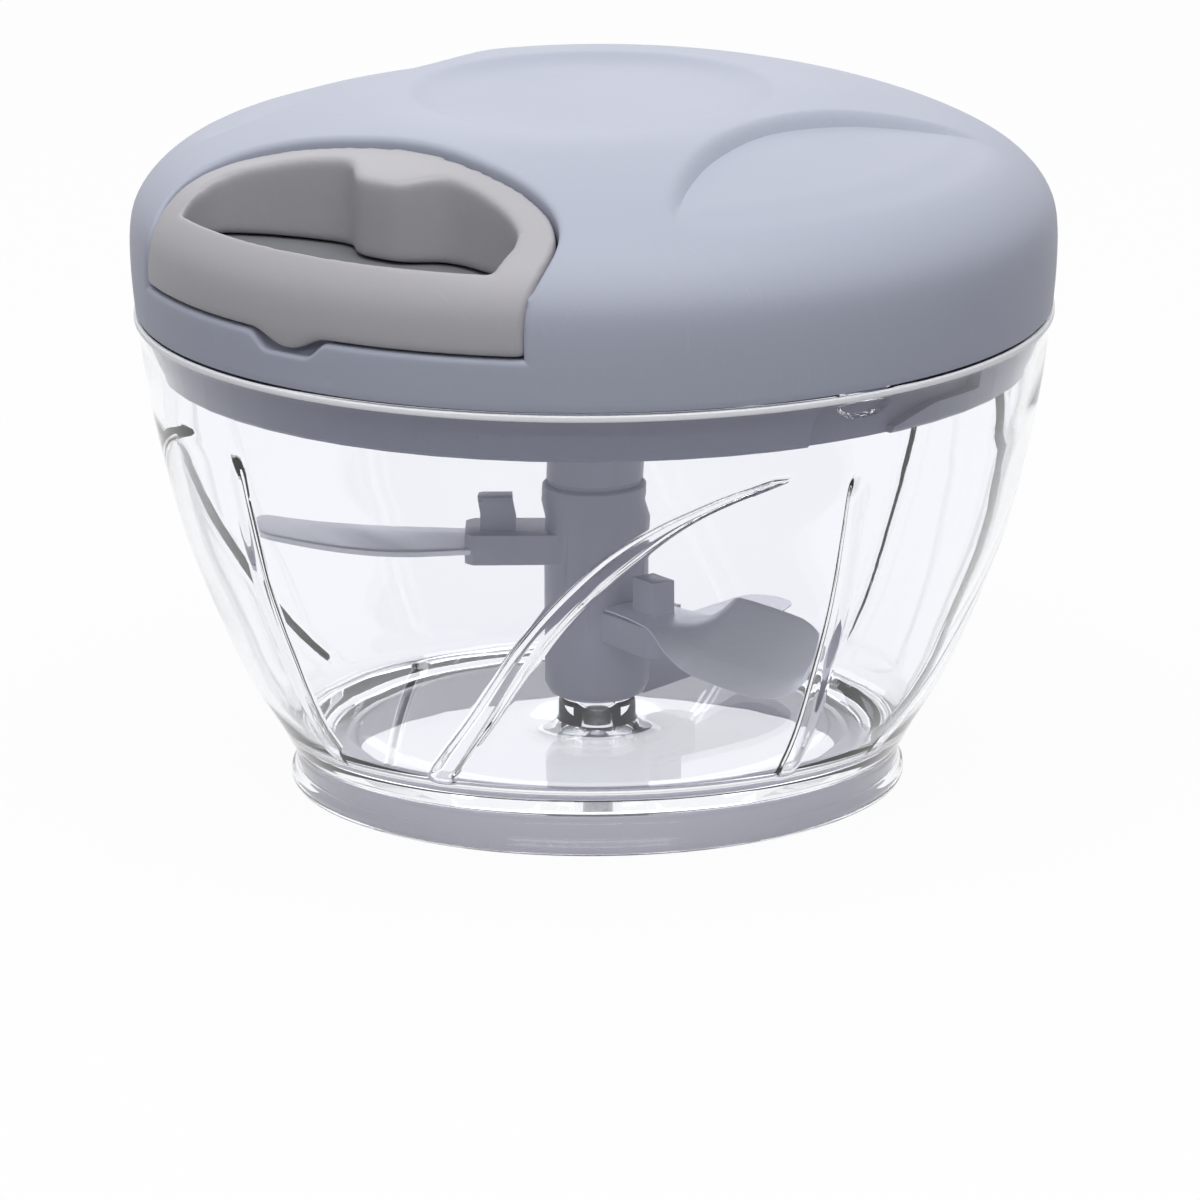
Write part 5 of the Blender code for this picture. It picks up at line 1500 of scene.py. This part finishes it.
class CHOPPER_OT_seal(bpy.types.Operator):
    """The soft ring between the lid and the bowl's rim"""

    bl_idname = "chopper.seal"
    bl_label = "Seal"

    def execute(self, context):
        low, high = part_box("lid_seal")
        outer = high[0] / MM
        inner = outer - 1.0
        bottom, top = low[2] / MM, high[2] / MM
        seal = ring_piece("soft_seal", ((inner, top), (outer, top), (outer, bottom), (inner, bottom)), 0.3, 5)
        dress(seal, "seal", plastic("Seal Rubber"), "grey_rubber", "lid_seal")
        return {"FINISHED"}


class CHOPPER_OT_cord(bpy.types.Operator):
    """The cord on the reel, through its guide and on to the knot in the handle"""

    bl_idname = "chopper.cord"
    bl_label = "Cord"

    def execute(self, context):
        radius = sizes().cord_radius / MM
        thread = cord_material("Braided Cord", colours().cord)
        wound = cord_object("cord_turns", winding_path(), radius)
        dress(wound, "reel", thread, "cord", "cord_winding")
        feed = cord_object("cord_to_guide", feed_path(), radius)
        dress(feed, "lid", thread, "cord", "cord_feed")
        run = [(0.0, y, CORD_HEIGHT) for y in np.linspace(-34.3, -40.6, 24)]
        pulled = cord_object("cord_to_handle", run, radius * 0.98)
        pulled.data.materials.append(thread)
        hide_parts("cord_run")
        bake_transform(pulled)
        knot = cord_object("end_knot", knot_path(), radius * 0.72)
        dress(knot, "handle", thread, "cord", "cord_knot")
        return {"FINISHED"}


SCREWS = tuple(f"lid_screw_{number}" for number in range(1, 5))
INNER_FINISH = {
    "plate": ("lid_base",),
    "nylon": ("coupler", "reel", "pawl_1", "pawl_2"),
    "steel": ("axle", "center_pin", "cord_guide", "power_spring", "spring_cover", *SCREWS),
    "handle": ("cord_plug",),
}


class CHOPPER_OT_inner_parts(bpy.types.Operator):
    """Finishes for the parts of the frame whose shape stays"""

    bl_idname = "chopper.inner_parts"
    bl_label = "Inner Parts"

    def execute(self, context):
        lengthwise = (900.0, 900.0, 5200.0)
        finishes = {
            "plate": plastic("Satin Plate Plastic"),
            "nylon": plastic("White Nylon"),
            "steel": metal("Bright Steel", colours().steel, rough=(0.14, 0.26), stretch=lengthwise),
            "handle": plastic("Satin Handle Plastic"),
        }
        for finish, names in INNER_FINISH.items():
            for name in names:
                for slot in NODES[name].material_slots:
                    slot.material = finishes[finish]
        return {"FINISHED"}


def area_lamp(name, place, target, size, power):
    """A rectangular soft light that faces its target."""
    lamp = bpy.data.lights.new(name, "AREA")
    lamp.shape = "RECTANGLE"
    lamp.size = size[0]
    lamp.size_y = size[1]
    lamp.energy = power
    obj = linked(name, lamp)
    obj.location = place
    obj.rotation_euler = (Vector(target) - Vector(place)).to_track_quat("-Z", "Y").to_euler()


# Name, place, size and power of each lamp
LAMPS = (
    ("overhead", (0.12, -0.16, 0.9), (0.8, 0.8), 7.1),
    ("back", (-0.75, 0.85, 0.6), (0.8, 0.4), 1.7),
    ("strip", (0.75, -0.88, 0.85), (1.6, 0.035), 1.8),
)

# What the floor gives of its own white to rays that see it, and the strengths of floor and surroundings
FLOOR_GLOW = 0.92
FLOOR_LIGHT = 1.04
GROUND_LIGHT = 0.34

# The photograph's own view: turned about +Z, tipped down and rolled, in degrees
LENS = 315.0
CAMERA_PLACE = (0.8941, -1.0461, 0.3992)
CAMERA_TURN = 40.5
CAMERA_PITCH = 15.23
CAMERA_ROLL = -0.42


class CHOPPER_OT_stage(bpy.types.Operator):
    """The floor, the soft lights, the white surroundings and the camera"""

    bl_idname = "chopper.stage"
    bl_label = "Stage"

    def execute(self, context):
        scene = context.scene
        mesh = bpy.data.meshes.new("floor")
        side = 6.0
        corners = [(-side, -side, 0), (side, -side, 0), (side, side, 0), (-side, side, 0)]
        mesh.from_pydata(corners, [], [(0, 1, 2, 3)])
        floor = linked("studio_floor", mesh)
        floor.data.materials.append(floor_material(colours().floor, FLOOR_GLOW))

        world = bpy.data.worlds.new("studio")
        scene.world = world
        world.use_nodes = True
        tree = world.node_tree
        ground = tree.nodes["Background"]
        ground.inputs["Strength"].default_value = GROUND_LIGHT
        ground.inputs["Color"].default_value = (0.96, 0.98, 1.0, 1.0)
        seen = node(tree, "ShaderNodeBackground", {"Color": (1.0, 1.0, 1.0, 1.0), "Strength": 1.0})
        shown = blended(tree, seen_share(tree), ground.outputs[0], seen.outputs[0])
        tree.links.new(shown, tree.nodes["World Output"].inputs["Surface"])

        middle = (0.0, 0.0, 0.05)
        for name, place, size, power in LAMPS:
            area_lamp(name, place, middle, size, power)

        camera = bpy.data.cameras.new("camera")
        camera.lens = LENS
        camera.sensor_width = 36.0
        camera.clip_end = 30.0
        obj = linked("camera", camera)
        aim = Matrix.Rotation(math.radians(CAMERA_TURN), 4, "Z")
        aim = aim @ Matrix.Rotation(math.radians(90.0 - CAMERA_PITCH), 4, "X")
        aim = aim @ Matrix.Rotation(math.radians(CAMERA_ROLL), 4, "Z")
        obj.matrix_world = Matrix.Translation(CAMERA_PLACE) @ aim
        scene.camera = obj
        scene.view_settings.view_transform = "Standard"
        return {"FINISHED"}


PIECES = (
    CHOPPER_OT_stage,
    CHOPPER_OT_inner_parts,
    CHOPPER_OT_bowl,
    CHOPPER_OT_base_ring,
    CHOPPER_OT_lid,
    CHOPPER_OT_shade_sheet,
    CHOPPER_OT_handle,
    CHOPPER_OT_shaft,
    CHOPPER_OT_blades,
    CHOPPER_OT_seal,
    CHOPPER_OT_cord,
)


class CHOPPER_PT_panel(bpy.types.Panel):
    bl_label = "Cord Chopper"
    bl_idname = "CHOPPER_PT_panel"
    bl_space_type = "VIEW_3D"
    bl_region_type = "UI"
    bl_category = "Chopper"

    def draw(self, context):
        layout = self.layout
        for piece in PIECES:
            layout.operator(piece.bl_idname)
        for group in (sizes(), colours()):
            box = layout.box()
            for name in group.bl_rna.properties.keys():
                if name not in ("rna_type", "name"):
                    box.prop(group, name)


CLASSES = (ChopperSizes, ChopperColours, *PIECES, CHOPPER_PT_panel)


def register():
    for made in CLASSES:
        bpy.utils.register_class(made)
    bpy.types.Scene.chopper_sizes = bpy.props.PointerProperty(type=ChopperSizes)
    bpy.types.Scene.chopper_colours = bpy.props.PointerProperty(type=ChopperColours)


def unregister():
    del bpy.types.Scene.chopper_colours
    del bpy.types.Scene.chopper_sizes
    for made in reversed(CLASSES):
        bpy.utils.unregister_class(made)


def main():
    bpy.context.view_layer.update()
    register()
    for piece in PIECES:
        group, name = piece.bl_idname.split(".")
        getattr(getattr(bpy.ops, group), name)()


if __name__ == "__main__":
    main()
